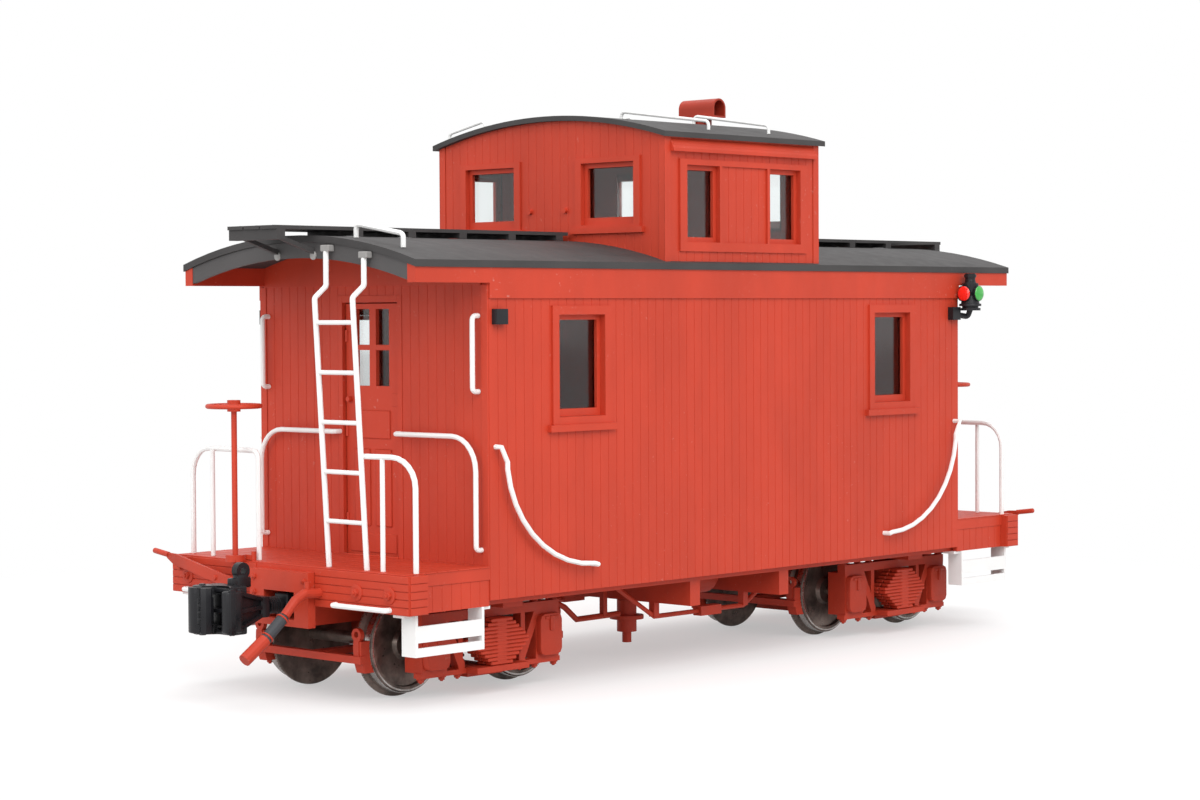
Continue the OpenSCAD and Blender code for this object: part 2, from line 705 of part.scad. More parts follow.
lever_x = beam_x + 2.6;
lever_out = beam_y + 4.6;
module uncoupling_levers() {
    color(red) for (turn = [0, 180]) at_end(turn) {
        bent_rod([[-lever_x - 1, lever_out, deck_top + 1.6], [-lever_x - 1, lever_out - 7, deck_top + 0.6],
                  [-lever_x - 2.6, 27.5, deck_top - 6], [-lever_x - 4, 17.5, deck_top - 7]], 0.9);
        span([-lever_x - 3.4, 50.2, deck_top - 4.4], [-beam_x, 51.8, deck_top + 0.2]);
    }
}

step_x0 = beam_x - 4.8;
step_len = 30;
step_out = body_y;
step_deep = 6.4;
step_z = 17.8;
step_t = 1.1;
panel_z0 = 22.3;
panel_z1 = 27.5;
module steps() {
    color(white) four_ways() translate([step_x0 - step_len, step_out - step_deep, 0]) {
        for (x = [0, step_len - step_t]) span([x, 0, step_z], [x + step_t, step_deep, beam_bottom]);
        span([-3.6, 0, beam_bottom - 1], [eps, step_deep - 1, beam_bottom]);
        span([step_len - eps, 0, beam_bottom - 1], [step_len + 3.6, step_deep - 1, beam_bottom]);
        span([0, 0, step_z], [step_len, step_deep, step_z + step_t]);
        span([0, step_deep - 1, step_z], [step_len, step_deep, step_z + 2.8]);
        span([0, step_deep - 1, panel_z0], [step_len, step_deep, panel_z1]);
    }
}

// ---------------------------------------------------------------- couplers
head_x0 = beam_x + 17;
head_len = 17;
head_half_y = 8.6;
head_z0 = coupler_z - 7.6;
head_z1 = coupler_z + 8;
shank_half_y = 3.2;
neck_len = 8;
knuckle_pin_x = head_x0 + 13;
knuckle_pin_y = 5.4;
knuckle_pin_r = 1.3;
knuckle_r = 4.2;
knuckle_nose = head_x0 + 17.5;
eye_x = head_x0 + 1.6;
eye_z = head_z1 + 4.1;
eye_r = 1.1;
module coupler(turn) {
    color(black) at_end(turn) difference() {
        union() {
            // shank and its round tail on the pivot
            span([-head_x0 - 1, -shank_half_y, coupler_z - shank_half_z],
                 [-pivot_x, shank_half_y, coupler_z + shank_half_z]);
            rod_z(-pivot_x, 0, 4.2, coupler_z - shank_half_z, coupler_z + shank_half_z);
            // head with its guard arm on one side and knuckle lugs on the other
            span([-head_x0 - 6, -head_half_y, head_z0], [-head_x0, head_half_y, head_z1]);
            span([-head_x0 - head_len, -head_half_y, head_z0], [-head_x0 - 5, -head_half_y + 3.6, head_z1]);
            span([-head_x0 - 1, -head_half_y + 1.6, head_z0 + 2], [-head_x0 + neck_len / 2, head_half_y - 1.6, head_z1 - 2]);
            span([-head_x0 - 1, -head_half_y + 3.4, head_z0 + 3], [-head_x0 + neck_len, head_half_y - 3.4, head_z1 - 3]);
            for (z = [head_z0, head_z1 - 3]) translate([0, 0, z]) {
                span([-knuckle_pin_x, knuckle_pin_y - 3.2, 0], [-head_x0 - 5, knuckle_pin_y + 3.2, 3]);
                rod_z(-knuckle_pin_x, knuckle_pin_y, 3.2, 0, 3);
            }
            // lug with the lift eye
            span([-eye_x - 2.2, -1.6, head_z1 - eps], [-eye_x + 2.2, 1.6, eye_z]);
            rod_y(-eye_x, eye_z, 2.2, -1.6, 1.6);
        }
        rod_z(-pivot_x, 0, pivot_r + fit, 0, 60);
        rod_z(-knuckle_pin_x, knuckle_pin_y, knuckle_pin_r + fit, 0, 60);
        rod_y(-eye_x, eye_z, eye_r, -5, 5);
        // throat that the knuckle closes
        span([-head_x0 - 20, -head_half_y + 3.6, head_z0 + 3], [-head_x0 - 6, head_half_y + 1, head_z1 - 3]);
    }
}
module coupler_front() { coupler(0); }
module coupler_rear() { coupler(180); }

// knuckle: a hook that turns on its pin between the head's lugs
knuckle_z0 = head_z0 + 3.3;
knuckle_z1 = head_z1 - 3.3;
module knuckle(turn) {
    color(black) at_end(turn) {
        rod_z(-knuckle_pin_x, knuckle_pin_y, knuckle_pin_r, head_z0, head_z1);
        rod_z(-knuckle_pin_x, knuckle_pin_y, knuckle_r - 0.4, knuckle_z0, knuckle_z1);
        span([-knuckle_nose, -1.6, knuckle_z0], [-knuckle_pin_x + 0.4, knuckle_pin_y, knuckle_z1]);
        span([-knuckle_pin_x, 1.6, knuckle_z0 + 1], [-knuckle_pin_x + 5, 4.6, knuckle_z1 - 1]);
    }
}
module knuckle_front() { knuckle(0); }
module knuckle_rear() { knuckle(180); }

// air hose under the end beam: angle cock, hose and coupling head
hose_y = -17.2;
hose_top = [-beam_x - 14.9, hose_y, coupler_z - 1.6];
hose_end = [-beam_x - 23, hose_y, coupler_z - 8.4];
glad_end = [-beam_x - 31.4, hose_y, coupler_z - 14.2];
hose_r = 1.9;
pipe_bend_r = 1.6;
module hose_fittings() {
    color(red) for (turn = [0, 180]) at_end(turn) {
        bent_rod([[-beam_x - seat, hose_y, coupler_z + 4.6], [-beam_x - 6.5, hose_y, coupler_z + 4.9],
                  [-beam_x - 10.4, hose_y, coupler_z + 3], hose_top], pipe_bend_r, 12);
        bent_rod([[-beam_x - 5.6, hose_y, coupler_z + 4.6], [-beam_x - 5.6, hose_y, coupler_z + 8.6]], 0.9, 8);
        bent_rod([hose_end, glad_end], 2.1, 12);
    }
}
module air_hoses() {
    inset = unit(hose_end - hose_top) * 0.5;
    color(dark) for (turn = [0, 180]) at_end(turn)
        bent_rod([hose_top + inset, hose_end - 0.2 * inset], hose_r, 12);
}

// ---------------------------------------------------------------- under the floor
truss_y = 34.5;
truss_z = 17.4;
truss_r = 0.9;
truss_end = needle_x + 36;
module truss_rods() {
    color(red) both_sides() {
        bent_rod([[-truss_end, truss_y, floor_z - truss_r - seat], [-needle_x, truss_y, truss_z],
                  [needle_x, truss_y, truss_z], [truss_end, truss_y, floor_z - truss_r - seat]], truss_r);
        for (s = [-1, 1]) span([s * needle_x - 1.3, truss_y - 1.3, truss_z], [s * needle_x + 1.3, truss_y + 1.3, needle_z]);
        // turnbuckle, a little off the middle
        span([-1.2, truss_y - 1.9, truss_z - 1.7], [10, truss_y + 1.9, truss_z + 1.7]);
    }
}

tank_y = 21;
tank_z = 30.3;
tank_r = 8.4;
module air_tank() {
    color(red) {
        rod_x(-tank_y, tank_z, tank_r, -20, 17);
        for (x = [-14, 8]) span([x, -tank_y - 1.5, tank_z + tank_r - 1], [x + 4, -tank_y + 1.5, floor_z]);
    }
}

pipe_y = 10;
pipe_z = 25.4;
pipe_r = 1.1;
pipe_end = needle_x + 45;
valve_x = -13.4;
valve_y = -11;
rig_y = -15;
module brake_pipe() {
    color(red) {
        rod_x(pipe_y, pipe_z, pipe_r, -pipe_end, -needle_x - needle_t / 2);
        rod_z(-pipe_end + pipe_r, pipe_y, pipe_r, pipe_z, beam_bottom);
        // drain valve with its flange
        rod_z(valve_x, valve_y, 6.2, 14, 15.4);
        rod_z(valve_x, valve_y, 3.6, 9.4, 21);
        rod_z(valve_x, valve_y, 1.5, 20, beam_bottom);
        rod_z(valve_x, valve_y, 1.7, 5.4, 10);
        // lever guide of the hand brake
        bent_rod([[-60, rig_y, floor_z], [-57, rig_y, 24.6], [-50, rig_y, 21.4], [-44, rig_y, 16.6],
                  [-22, rig_y, 16.8]], pipe_r, 8);
        span([-31, rig_y - 1, 16.6], [-29, rig_y + 1, floor_z]);
    }
}

// ---------------------------------------------------------------- lamps
lamp_x = body_x + 2.4;
lamp_y = body_y + 4.4;
lamp_r = 3.2;
lamp_z = plate_bottom - 9.8;
bracket_z = deck_top + 78.2;
module lamp_bracket(lamp) {
    // bracket plate on the side wall by its corner, with a socket
    difference() {
        span([body_x - 6.4, body_y, bracket_z], [body_x - 1.4, body_y + 2.6, bracket_z + 5]);
        if (!lamp) rod_z(body_x - 3.9, body_y + 1.3, 0.7, bracket_z - 1, bracket_z + 6);
    }
    if (lamp) {
        bent_rod(bent([[body_x - 2, body_y + 1.3, bracket_z + 2], [lamp_x, lamp_y - 1.2, bracket_z + 1.2],
                       [lamp_x, lamp_y, lamp_z + 0.4]], 1, 3), 1.1);
        rod_z(lamp_x, lamp_y, 4, lamp_z, lamp_z + 1);
        rod_z(lamp_x, lamp_y, lamp_r, lamp_z, lamp_z + 10.6);
        rod_z(lamp_x, lamp_y, 2, lamp_z + 10, lamp_z + 14.4);
        rod_z(lamp_x, lamp_y, 2.4, lamp_z + 13, lamp_z + 14);
        for (a = [0 : 90 : 270]) translate([lamp_x, lamp_y, lamp_z + 6.6]) rotate([0, 0, a])
            rod_x(0, 0, 2.3, 1, lamp_r + 1);
    }
}
module marker_lamps() {
    color(black) both_sides() {
        lamp_bracket(true);
        mirror([1, 0, 0]) lamp_bracket(false);
    }
}

// ---------------------------------------------------------------- trucks
axle_x = wheelbase / 2;
frame_y = 36.2;
frame_t = 3.6;
chord_z0 = 25.3;
chord_z1 = 28.4;
box_half = 5.5;
box_in = 31.5;
box_out = 39.8;
box_z0 = 9.2;
tie_z = 7.6;
seat_x = 12;
column_x = 13.4;
truck_bolster_z = plate_z - 0.3 - 1.4;
hanger_x = axle_x + tread_r + 3.4;
hanger_z = 21;
module side_frame() {
    // top chord, tie bar, columns and spring seat
    span([-axle_x - 5.6, frame_y, chord_z0], [axle_x + 5.6, frame_y + frame_t, chord_z1]);
    span([-axle_x - 6, frame_y, tie_z], [axle_x + 6, frame_y + frame_t, box_z0 + eps]);
    span([-seat_x, frame_y - 3, tie_z], [seat_x, frame_y + 9, box_z0 + 0.4]);
    for (s = [-1, 1]) {
        span([s * (column_x + 1) - 1, frame_y, box_z0], [s * (column_x + 1) + 1, frame_y + frame_t, chord_z0 + eps]);
        // lower arch bar, from the box's shoulder down to the spring seat
        hull() {
            span([s * (axle_x - box_half) - 0.8, frame_y, chord_z0 - 3], [s * (axle_x - box_half) + 0.8, frame_y + frame_t, chord_z0]);
            span([s * (seat_x + 1.4) - 0.8, frame_y, tie_z], [s * (seat_x + 1.4) + 0.8, frame_y + frame_t, box_z0 + 2]);
        }
        // journal box with a blind bore from its inner face
        translate([s * axle_x, 0, 0]) difference() {
            union() {
                span([-box_half, box_in, box_z0], [box_half, box_out, chord_z0 + eps]);
                span([-box_half + 1.2, box_out - eps, box_z0 + 2], [box_half - 1.2, box_out + 1.2, chord_z0 - 2]);
            }
            rod_y(0, axle_z, journal_r + fit, box_in - 1, box_in + 5.4);
        }
    }
}
module truck_frame(x) {
    color(red) translate([x, 0, 0]) {
        both_sides() side_frame();
        difference() {
            union() {
                span([-5, -frame_y - 1, 13.6], [5, frame_y + 1, truck_bolster_z]);
                both_sides() span([-5, frame_y, 13.6], [5, frame_y + 1.5, chord_z0 + eps]);
                rod_z(0, 0, plate_r, truck_bolster_z - eps, plate_z - 0.3);
                span([-8, -frame_y, 5.6], [8, frame_y, tie_z + 0.6]);
            }
            rod_z(0, 0, king_r + fit, king_z - 1, 60);
        }
        // rod under the axles that carries both brake beams
        span([-hanger_x + 1.2, -2, 12.8], [hanger_x - 1.2, 2, 14.8]);
    }
}
module truck_frame_front() { truck_frame(-truck_x); }
module truck_frame_rear() { truck_frame(truck_x); }

// full-elliptic leaf springs, two packs side by side on each spring seat
leaves = 7;
leaf_t = (chord_z0 - box_z0 - 0.4) / (2 * leaves);
pack_y0 = frame_y + 1.5;
pack_w = 3.2;
module spring_pack() {
    for (i = [0 : leaves - 1], k = [-1, 1]) {
        half = 11.6 - 6.4 * i / (leaves - 1);
        zm = (chord_z0 + box_z0 + 0.4) / 2;
        z0 = k > 0 ? zm + i * leaf_t : zm - (i + 1) * leaf_t;
        span([-half, 0, z0 - (k > 0 ? eps : 0)], [half, pack_w, z0 + leaf_t + (k < 0 ? eps : 0)]);
    }
}
module truck_springs(x) {
    color(red) translate([x, 0, 0]) both_sides()
        for (k = [0, 1]) translate([0, pack_y0 + k * (pack_w + 0.5), 0]) spring_pack();
}
module truck_springs_front() { truck_springs(-truck_x); }
module truck_springs_rear() { truck_springs(truck_x); }

// brake beams outside the wheels, with shoes that clear the treads
shoe_gap = 0.5;
module brake_beams(x) {
    color(red) translate([x, 0, 0]) for (s = [0, 1]) mirror([s, 0, 0]) {
        span([hanger_x - 1.2, -27, 12.8], [hanger_x + 1.4, 27, 15.2]);
        both_sides() {
            difference() {
                intersection() {
                    rod_y(axle_x, axle_z, tread_r + 4, 22.6, 26.6);
                    span([hanger_x - 6, 20, 9.6], [hanger_x + 6, 30, hanger_z - 1]);
                }
                rod_y(axle_x, axle_z, tread_r + shoe_gap, 20, 30);
            }
            // hanger strap with its eye
            difference() {
                union() {
                    span([hanger_x - 0.8, 23.2, 14], [hanger_x + 0.8, 25.6, hanger_z]);
                    rod_x(24.4, hanger_z + 1, 2.2, hanger_x - 0.8, hanger_x + 0.8);
                }
                rod_x(24.4, hanger_z + 1.2, 1, hanger_x - 2, hanger_x + 2);
            }
        }
    }
}
module brake_beams_front() { brake_beams(-truck_x); }
module brake_beams_rear() { brake_beams(truck_x); }

// wheelsets: axle, journals and two wheels turned in one piece
axle_r = 2;
module wheelset(x) {
    color("gray") translate([x, 0, axle_z]) rotate([-90, 0, 0]) {
        cylinder(h = 2 * wheel_out, r = axle_r, center = true, $fn = 48);
        cylinder(h = 2 * (box_in + 4.6), r = journal_r, center = true, $fn = 48);
        for (s = [0, 1]) mirror([0, 0, s]) rotate_extrude($fn = 160) polygon([
            [axle_r - 0.5, wheel_in], [tread_r + flange_h - 0.3, wheel_in], [tread_r + flange_h, wheel_in + 0.4],
            [tread_r + flange_h, wheel_in + 1], [tread_r + 0.2, wheel_in + 1.8], [tread_r - 0.2, wheel_out - 0.4],
            [tread_r - 0.6, wheel_out], [tread_r - 2, wheel_out], [tread_r - 2.3, wheel_out - 1.2],
            [5.4, wheel_out - 1.6], [4.6, wheel_out - 0.2], [axle_r - 0.5, wheel_out - 0.2]]);
    }
}
module wheelset_front_outer() { wheelset(-truck_x - axle_x); }
module wheelset_front_inner() { wheelset(-truck_x + axle_x); }
module wheelset_rear_inner() { wheelset(truck_x - axle_x); }
module wheelset_rear_outer() { wheelset(truck_x + axle_x); }

floor();
side_sills();
centre_sills();
body_bolsters();
needle_beams();
platform_front();
platform_rear();
end_beam_front();
end_beam_rear();
side_wall_left();
side_wall_right();
end_wall_front();
end_wall_rear();
eave_beams();
door_front();
door_rear();
door_glass_front();
door_glass_rear();
window_sashes();
window_glass();
main_roof();
roof_fascias();
roof_walk_front();
roof_walk_rear();
cupola_end_front();
cupola_end_rear();
cupola_side_left();
cupola_side_right();
cupola_roof();
smoke_jack();
roof_grabs();
ladder_front();
ladder_rear();
railing_front();
railing_rear();
side_grabs();
end_grabs();
brake_staffs();
uncoupling_levers();
steps();
coupler_front();
coupler_rear();
knuckle_front();
knuckle_rear();
hose_fittings();
air_hoses();
truss_rods();
air_tank();
brake_pipe();
marker_lamps();
truck_frame_front();
truck_frame_rear();
truck_springs_front();
truck_springs_rear();
brake_beams_front();
brake_beams_rear();
wheelset_front_outer();
wheelset_front_inner();
wheelset_rear_inner();
wheelset_rear_outer();
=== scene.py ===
"""Short eight-wheel caboose, a display model for 45 mm track, dressed for a studio picture."""
import json
import math

import bmesh
import bpy
from mathutils import Matrix, Vector


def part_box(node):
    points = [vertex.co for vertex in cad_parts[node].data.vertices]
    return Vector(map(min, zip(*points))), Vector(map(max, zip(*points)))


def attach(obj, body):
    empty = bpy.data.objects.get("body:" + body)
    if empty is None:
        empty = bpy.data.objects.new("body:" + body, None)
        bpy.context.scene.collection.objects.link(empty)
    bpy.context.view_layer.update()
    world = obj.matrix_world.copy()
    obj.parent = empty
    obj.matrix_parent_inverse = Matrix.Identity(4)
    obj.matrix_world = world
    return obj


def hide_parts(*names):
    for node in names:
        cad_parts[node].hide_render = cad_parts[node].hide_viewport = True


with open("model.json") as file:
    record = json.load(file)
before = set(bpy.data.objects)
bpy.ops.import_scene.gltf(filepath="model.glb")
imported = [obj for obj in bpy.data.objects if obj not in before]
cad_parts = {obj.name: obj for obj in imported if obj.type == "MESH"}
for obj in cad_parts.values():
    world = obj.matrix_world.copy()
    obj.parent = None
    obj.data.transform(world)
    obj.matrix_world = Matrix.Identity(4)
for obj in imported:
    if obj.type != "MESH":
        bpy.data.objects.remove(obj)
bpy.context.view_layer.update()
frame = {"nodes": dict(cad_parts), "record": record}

bl_info = {
    "name": "Caboose model",
    "version": (1, 0, 0),
    "blender": (4, 5, 0),
    "location": "View3D > Sidebar > Caboose",
    "description": "Boarding, fittings, finishes and studio for the caboose model",
    "category": "Object",
}

MM = 0.001

# ---------------------------------------------------------------- measures, in millimetres
def cad(node):
    """Lowest and highest corner of a CAD node, in millimetres."""
    low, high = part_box(node)
    return [c / MM for c in low], [c / MM for c in high]


FLOOR_HIGH = cad("floor")[1]
WALL_LOW = cad("side_wall_left")[0]
BEAM_HIGH = cad("end_beam_rear")[1]
DECK_HIGH = cad("platform_rear")[1]
EAVE_LOW = cad("eave_beams")[0]
ROOF_HIGH = cad("main_roof")[1]
CUPOLA_HIGH = cad("cupola_roof")[1]
DOOR_LOW, DOOR_HIGH = cad("door_rear")

BODY_X = FLOOR_HIGH[0]                 # outer face of the end walls
WALL_IN = FLOOR_HIGH[1]                # inner face of the side walls
BODY_Y = WALL_IN + 3.0                 # outer face of the side walls
DECK_TOP = FLOOR_HIGH[2]
BEAM_X = DECK_HIGH[0] + 8.0            # outer face of the end beams
BEAM_Y = BEAM_HIGH[1]                  # ends of the end beams
BEAM_BOTTOM = 31.4
PLATE_Z = EAVE_LOW[2]                  # underside of the eave beams
SIDE_BOTTOM = WALL_LOW[2]
FRIEZE_H = 5.0
END_FRIEZE_Z = PLATE_Z - 0.5
WINDOW_X, WINDOW_W, WINDOW_H = BODY_X - 42.7, 22.0, 33.8
WINDOW_Z = DECK_TOP + 47.4
CASING = 3.0
CUP_X, CUP_Y = 41.6, 56.1              # outer faces of the cupola's walls
CROWN, CUP_CROWN = ROOF_HIGH[2], CUPOLA_HIGH[2]
ROOF_R, CUP_R = 199.7, 217.6           # radii of the two roofs
CUP_SIDE_X, CUP_SIDE_W, CUP_SIDE_Z, CUP_SIDE_H = 22.35, 17.3, CROWN - 1.4, 26.8
CUP_END_Y, CUP_END_W, CUP_END_Z, CUP_END_H = 29.4, 25.2, CROWN + 5.1, 21.8
DRIP_Z = CUP_CROWN - 14.3
TRUCK_X, AXLE_X, AXLE_Z = 110.0, 26.0, 17.5
FRAME_Y, CHORD_Z, TIE_Z = 36.2, 28.4, 7.6
BOX_OUT = 41.0
COUPLER_Z = 31.3
LAMP_X, LAMP_Y, LAMP_Z = BODY_X + 2.4, BODY_Y + 4.4, PLATE_Z - 9.8 + 6.6
HOSE_TOP, HOSE_LOW = (179.9, 17.2, 29.7), (188.0, 17.2, 22.9)
TRUSS_Y = (-50.8, -35.3, 35.3, 50.8)   # truss rods through the end beams
STRIKER_Y, STRIKER_Z = (-12.4, 12.4), (34.6, 39.6)
LADDER_Y, STRUT_Y = (17.3, 35.6), (-9, 9)
ENDS = ((-1, "front"), (1, "rear"))
SIDES = ((1, "left"), (-1, "right"))


def arch(y, crown, radius):
    """Height of a roof's top at y."""
    return crown - radius + math.sqrt(radius * radius - y * y)


def length(name, description, default):
    return bpy.props.FloatProperty(name=name, description=description, default=default, unit="LENGTH")


def colour(name, description, default):
    return bpy.props.FloatVectorProperty(name=name, description=description, default=default,
                                         size=3, subtype="COLOR", min=0, max=1)


class CabooseSizes(bpy.types.PropertyGroup):
    """Sizes of the boarding and of the small fittings"""
    board: length("Board", "Width of one wall board with its groove", 0.0040)
    groove: length("Groove", "Width of the groove between two boards", 0.00026)
    proud: length("Board thickness", "How far the boards stand on the walls", 0.00014)
    plank: length("Deck plank", "Width of one platform plank with its gap", 0.0046)
    nut: length("Nut", "Size of the nuts on the end beams across their flats", 0.0024)


class CabooseColours(bpy.types.PropertyGroup):
    """Colours of the paints and fittings"""
    red: colour("Body red", "Oxide red of body and trucks", (0.49, 0.044, 0.019))
    roof: colour("Roof grey", "Warm dark grey of the roofs", (0.050, 0.047, 0.047))
    rail: colour("Rail white", "White of rails, ladders and steps", (0.80, 0.80, 0.79))
    iron: colour("Coupler black", "Black of the couplers and lamps", (0.012, 0.012, 0.014))
    wheel: colour("Wheel brown", "Blackened metal of the wheels", (0.15, 0.118, 0.102))
    hose: colour("Hose grey", "Dark rubber of the air hoses", (0.045, 0.047, 0.052))
    floor: bpy.props.FloatProperty(name="Floor brightness", description="Grey level of the studio floor",
                                   default=0.86, min=0, max=1)


# ---------------------------------------------------------------- finishes
class Finish:
    """A material under construction: one shader, and a few helpers that add nodes."""

    def __init__(self, name):
        self.material = bpy.data.materials.new(name)
        self.material.use_nodes = True
        self.nodes = self.material.node_tree.nodes
        self.links = self.material.node_tree.links
        self.shader = self.nodes["Principled BSDF"]
        self.place = self.add("ShaderNodeTexCoord").outputs["Object"]

    def add(self, kind, **settings):
        node = self.nodes.new(kind)
        for key, value in settings.items():
            setattr(node, key, value)
        return node

    def noise(self, scale, detail=3.0, rough=0.55, stretch=(1, 1, 1)):
        """Noise with features of about 1 / scale metres, drawn out along an axis by stretch."""
        mapping = self.add("ShaderNodeMapping")
        mapping.inputs["Scale"].default_value = stretch
        self.links.new(self.place, mapping.inputs["Vector"])
        noise = self.add("ShaderNodeTexNoise")
        noise.inputs["Scale"].default_value = scale
        noise.inputs["Detail"].default_value = detail
        noise.inputs["Roughness"].default_value = rough
        self.links.new(mapping.outputs["Vector"], noise.inputs["Vector"])
        return noise.outputs["Fac"]

    def ramp(self, source, low, high, at=(0.35, 0.65)):
        ramp = self.add("ShaderNodeValToRGB")
        for element, place, colour in zip(ramp.color_ramp.elements, at, (low, high)):
            element.position = place
            element.color = (*colour, 1) if hasattr(colour, "__len__") else (colour, colour, colour, 1)
        self.links.new(source, ramp.inputs["Fac"])
        return ramp.outputs["Color"]

    def bump(self, source, height, strength=1.0):
        bump = self.add("ShaderNodeBump")
        bump.inputs["Distance"].default_value = height * MM
        bump.inputs["Strength"].default_value = strength
        self.links.new(source, bump.inputs["Height"])
        self.links.new(bump.outputs["Normal"], self.shader.inputs["Normal"])

    def mixed(self, source, colour, share):
        """The source's colour, with a plain colour over share of it."""
        mix = self.add("ShaderNodeMix", data_type="RGBA", blend_type="MIX")
        self.links.new(share, mix.inputs["Factor"])
        self.links.new(source, mix.inputs[6])
        mix.inputs[7].default_value = (*colour, 1)
        return mix.outputs[2]

    def colour(self, source):
        self.links.new(source, self.shader.inputs["Base Color"])

    def rough(self, source, low, high, at=(0.3, 0.7)):
        self.links.new(self.ramp(source, low, high, at), self.shader.inputs["Roughness"])

    def fixed(self, **values):
        for key, value in values.items():
            self.shader.inputs[key.replace("_", " ")].default_value = value


def shade(colour, factor):
    return tuple(min(1.0, c * factor) for c in colour)


def paint(name, colour, spread=0.10, roughness=0.5, grain=(1, 1, 1), bump=0.02, dust=None):
    """Sprayed paint: cloudy colour, a fine grain, and dust where asked for."""
    finish = Finish(name)
    cloud = finish.noise(45, 4, 0.6, grain)
    base = finish.ramp(cloud, shade(colour, 1 - spread), shade(colour, 1 + spread))
    if dust:
        specks = finish.ramp(finish.noise(700, 2, 0.6), 0.0, 1.0, (0.66, 0.80))
        patches = finish.ramp(finish.noise(30, 3, 0.6), 0.0, 0.55, (0.45, 0.75))
        amount = finish.add("ShaderNodeMath", operation="MULTIPLY")
        finish.links.new(specks, amount.inputs[0])
        finish.links.new(patches, amount.inputs[1])
        base = finish.mixed(base, dust, amount.outputs[0])
    finish.colour(base)
    finish.rough(finish.noise(180, 3), roughness - 0.06, roughness + 0.08)
    finish.bump(finish.noise(1400, 2, 0.5, grain), bump)
    finish.fixed(Specular_IOR_Level=0.28)
    return finish.material


def wheel_metal(name, colour):
    """Blackened wheels: brown-black faces. The bright treads are steel pieces of their own."""
    finish = Finish(name)
    stain = finish.noise(120, 4, 0.65)
    finish.colour(finish.ramp(stain, shade(colour, 0.55), shade(colour, 1.7)))
    finish.rough(finish.noise(260, 3), 0.26, 0.46)
    finish.bump(finish.noise(900, 2), 0.015)
    finish.fixed(Metallic=0.7)
    return finish.material


def bright_steel(name):
    finish = Finish(name)
    finish.colour(finish.ramp(finish.noise(300, 3), (0.42, 0.40, 0.38), (0.62, 0.60, 0.58)))
    finish.rough(finish.noise(500, 2), 0.18, 0.34)
    finish.bump(finish.noise(1200, 2), 0.008)
    finish.fixed(Metallic=1.0)
    return finish.material


def glazing(name):
    """Thin clear sheet."""
    finish = Finish(name)
    finish.colour(finish.ramp(finish.noise(25, 2), (0.90, 0.93, 0.93), (0.96, 0.98, 0.98)))
    finish.rough(finish.noise(60, 2), 0.02, 0.06)
    finish.bump(finish.noise(40, 1), 0.01, 0.3)
    finish.fixed(Transmission_Weight=1.0, IOR=1.45, Specular_IOR_Level=0.3)
    return finish.material


def lens(name, colour):
    """Small coloured lamp lens."""
    finish = Finish(name)
    finish.colour(finish.ramp(finish.noise(300, 2), shade(colour, 0.9), shade(colour, 1.08)))
    finish.rough(finish.noise(200, 2), 0.05, 0.12)
    finish.bump(finish.noise(250, 1), 0.02)
    finish.fixed(Coat_Weight=0.7, Coat_Roughness=0.05)
    return finish.material


FINISH = {}


def mix_finishes(colours):
    red = tuple(colours.red)
    FINISH.update(
        red=paint("oxide_red", red, 0.07, 0.46, (1, 1, 0.35), 0.02, (0.62, 0.42, 0.36)),
        # painted shade: the body red darkened to 0.8 for the grooves between the boards
        groove=paint("groove_shaded_red", shade(red, 0.8), 0.08, 0.6),
        gear=paint("running_gear_red", shade(red, 0.9), 0.10, 0.5, (1, 1, 1), 0.03, (0.45, 0.25, 0.2)),
        roof=paint("roof_grey", tuple(colours.roof), 0.14, 0.62, (1, 1, 1), 0.05, (0.16, 0.15, 0.15)),
        # painted light: the fascias take the roof grey lightened 1.55 times, a lit copy of the roof paint
        fascia=paint("fascia_lit_grey", shade(tuple(colours.roof), 1.55), 0.12, 0.55, (1, 1, 1), 0.04),
        jack=paint("jack_red", shade(red, 0.72), 0.10, 0.45),
        pale=paint("bracket_grey", (0.30, 0.29, 0.28), 0.12, 0.5),
        rail=paint("rail_white", tuple(colours.rail), 0.03, 0.42, (1, 1, 1), 0.012),
        black=paint("coupler_black", tuple(colours.iron), 0.25, 0.30, (1, 1, 1), 0.02),
        lamp=paint("lamp_black", shade(tuple(colours.iron), 1.3), 0.2, 0.34, (1, 1, 1), 0.015),
        hose=paint("hose_rubber", tuple(colours.hose), 0.15, 0.55, (1, 1, 1), 0.02),
        wheel=wheel_metal("wheel_brown", tuple(colours.wheel)),
        steel=bright_steel("bright_steel"),
        glass=glazing("window_glazing"),
        red_lens=lens("red_lens", (0.95, 0.02, 0.012)),
        green_lens=lens("green_lens", (0.03, 0.36, 0.04)),
    )


# ---------------------------------------------------------------- shaping
def new_piece(name, bm, finish, body, smooth=None):
    """Turns a mesh in millimetres into a piece that rides on a body."""
    bmesh.ops.remove_doubles(bm, verts=bm.verts, dist=1e-4)
    bmesh.ops.recalc_face_normals(bm, faces=bm.faces)
    bmesh.ops.scale(bm, vec=(MM,) * 3, verts=bm.verts)
    mesh = bpy.data.meshes.new(name)
    for face in bm.faces:
        face.smooth = smooth is not None
    bm.to_mesh(mesh)
    bm.free()
    if smooth is not None:
        mesh.set_sharp_from_angle(angle=math.radians(smooth))
    mesh.materials.append(FINISH[finish])
    piece = bpy.data.objects.new(name, mesh)
    bpy.context.scene.collection.objects.link(piece)
    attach(piece, body)
    return piece


def block(bm, low, high, chamfer=0.0, segments=1):
    """A box between two corners, its edges chamfered."""
    centre = [(a + b) / 2 for a, b in zip(low, high)]
    size = [abs(b - a) for a, b in zip(low, high)]
    place = Matrix.Translation(centre) @ Matrix.Diagonal((*size, 1))
    verts = bmesh.ops.create_cube(bm, size=1.0, matrix=place)["verts"]
    if chamfer:
        edges = list({edge for vert in verts for edge in vert.link_edges})
        bmesh.ops.bevel(bm, geom=edges, offset=chamfer, segments=segments, profile=0.5,
                        affect="EDGES", material=-1)
    return verts


def facing(axis):
    """Turns +Z to an axis."""
    return Vector((0, 0, 1)).rotation_difference(Vector(axis)).to_matrix().to_4x4()


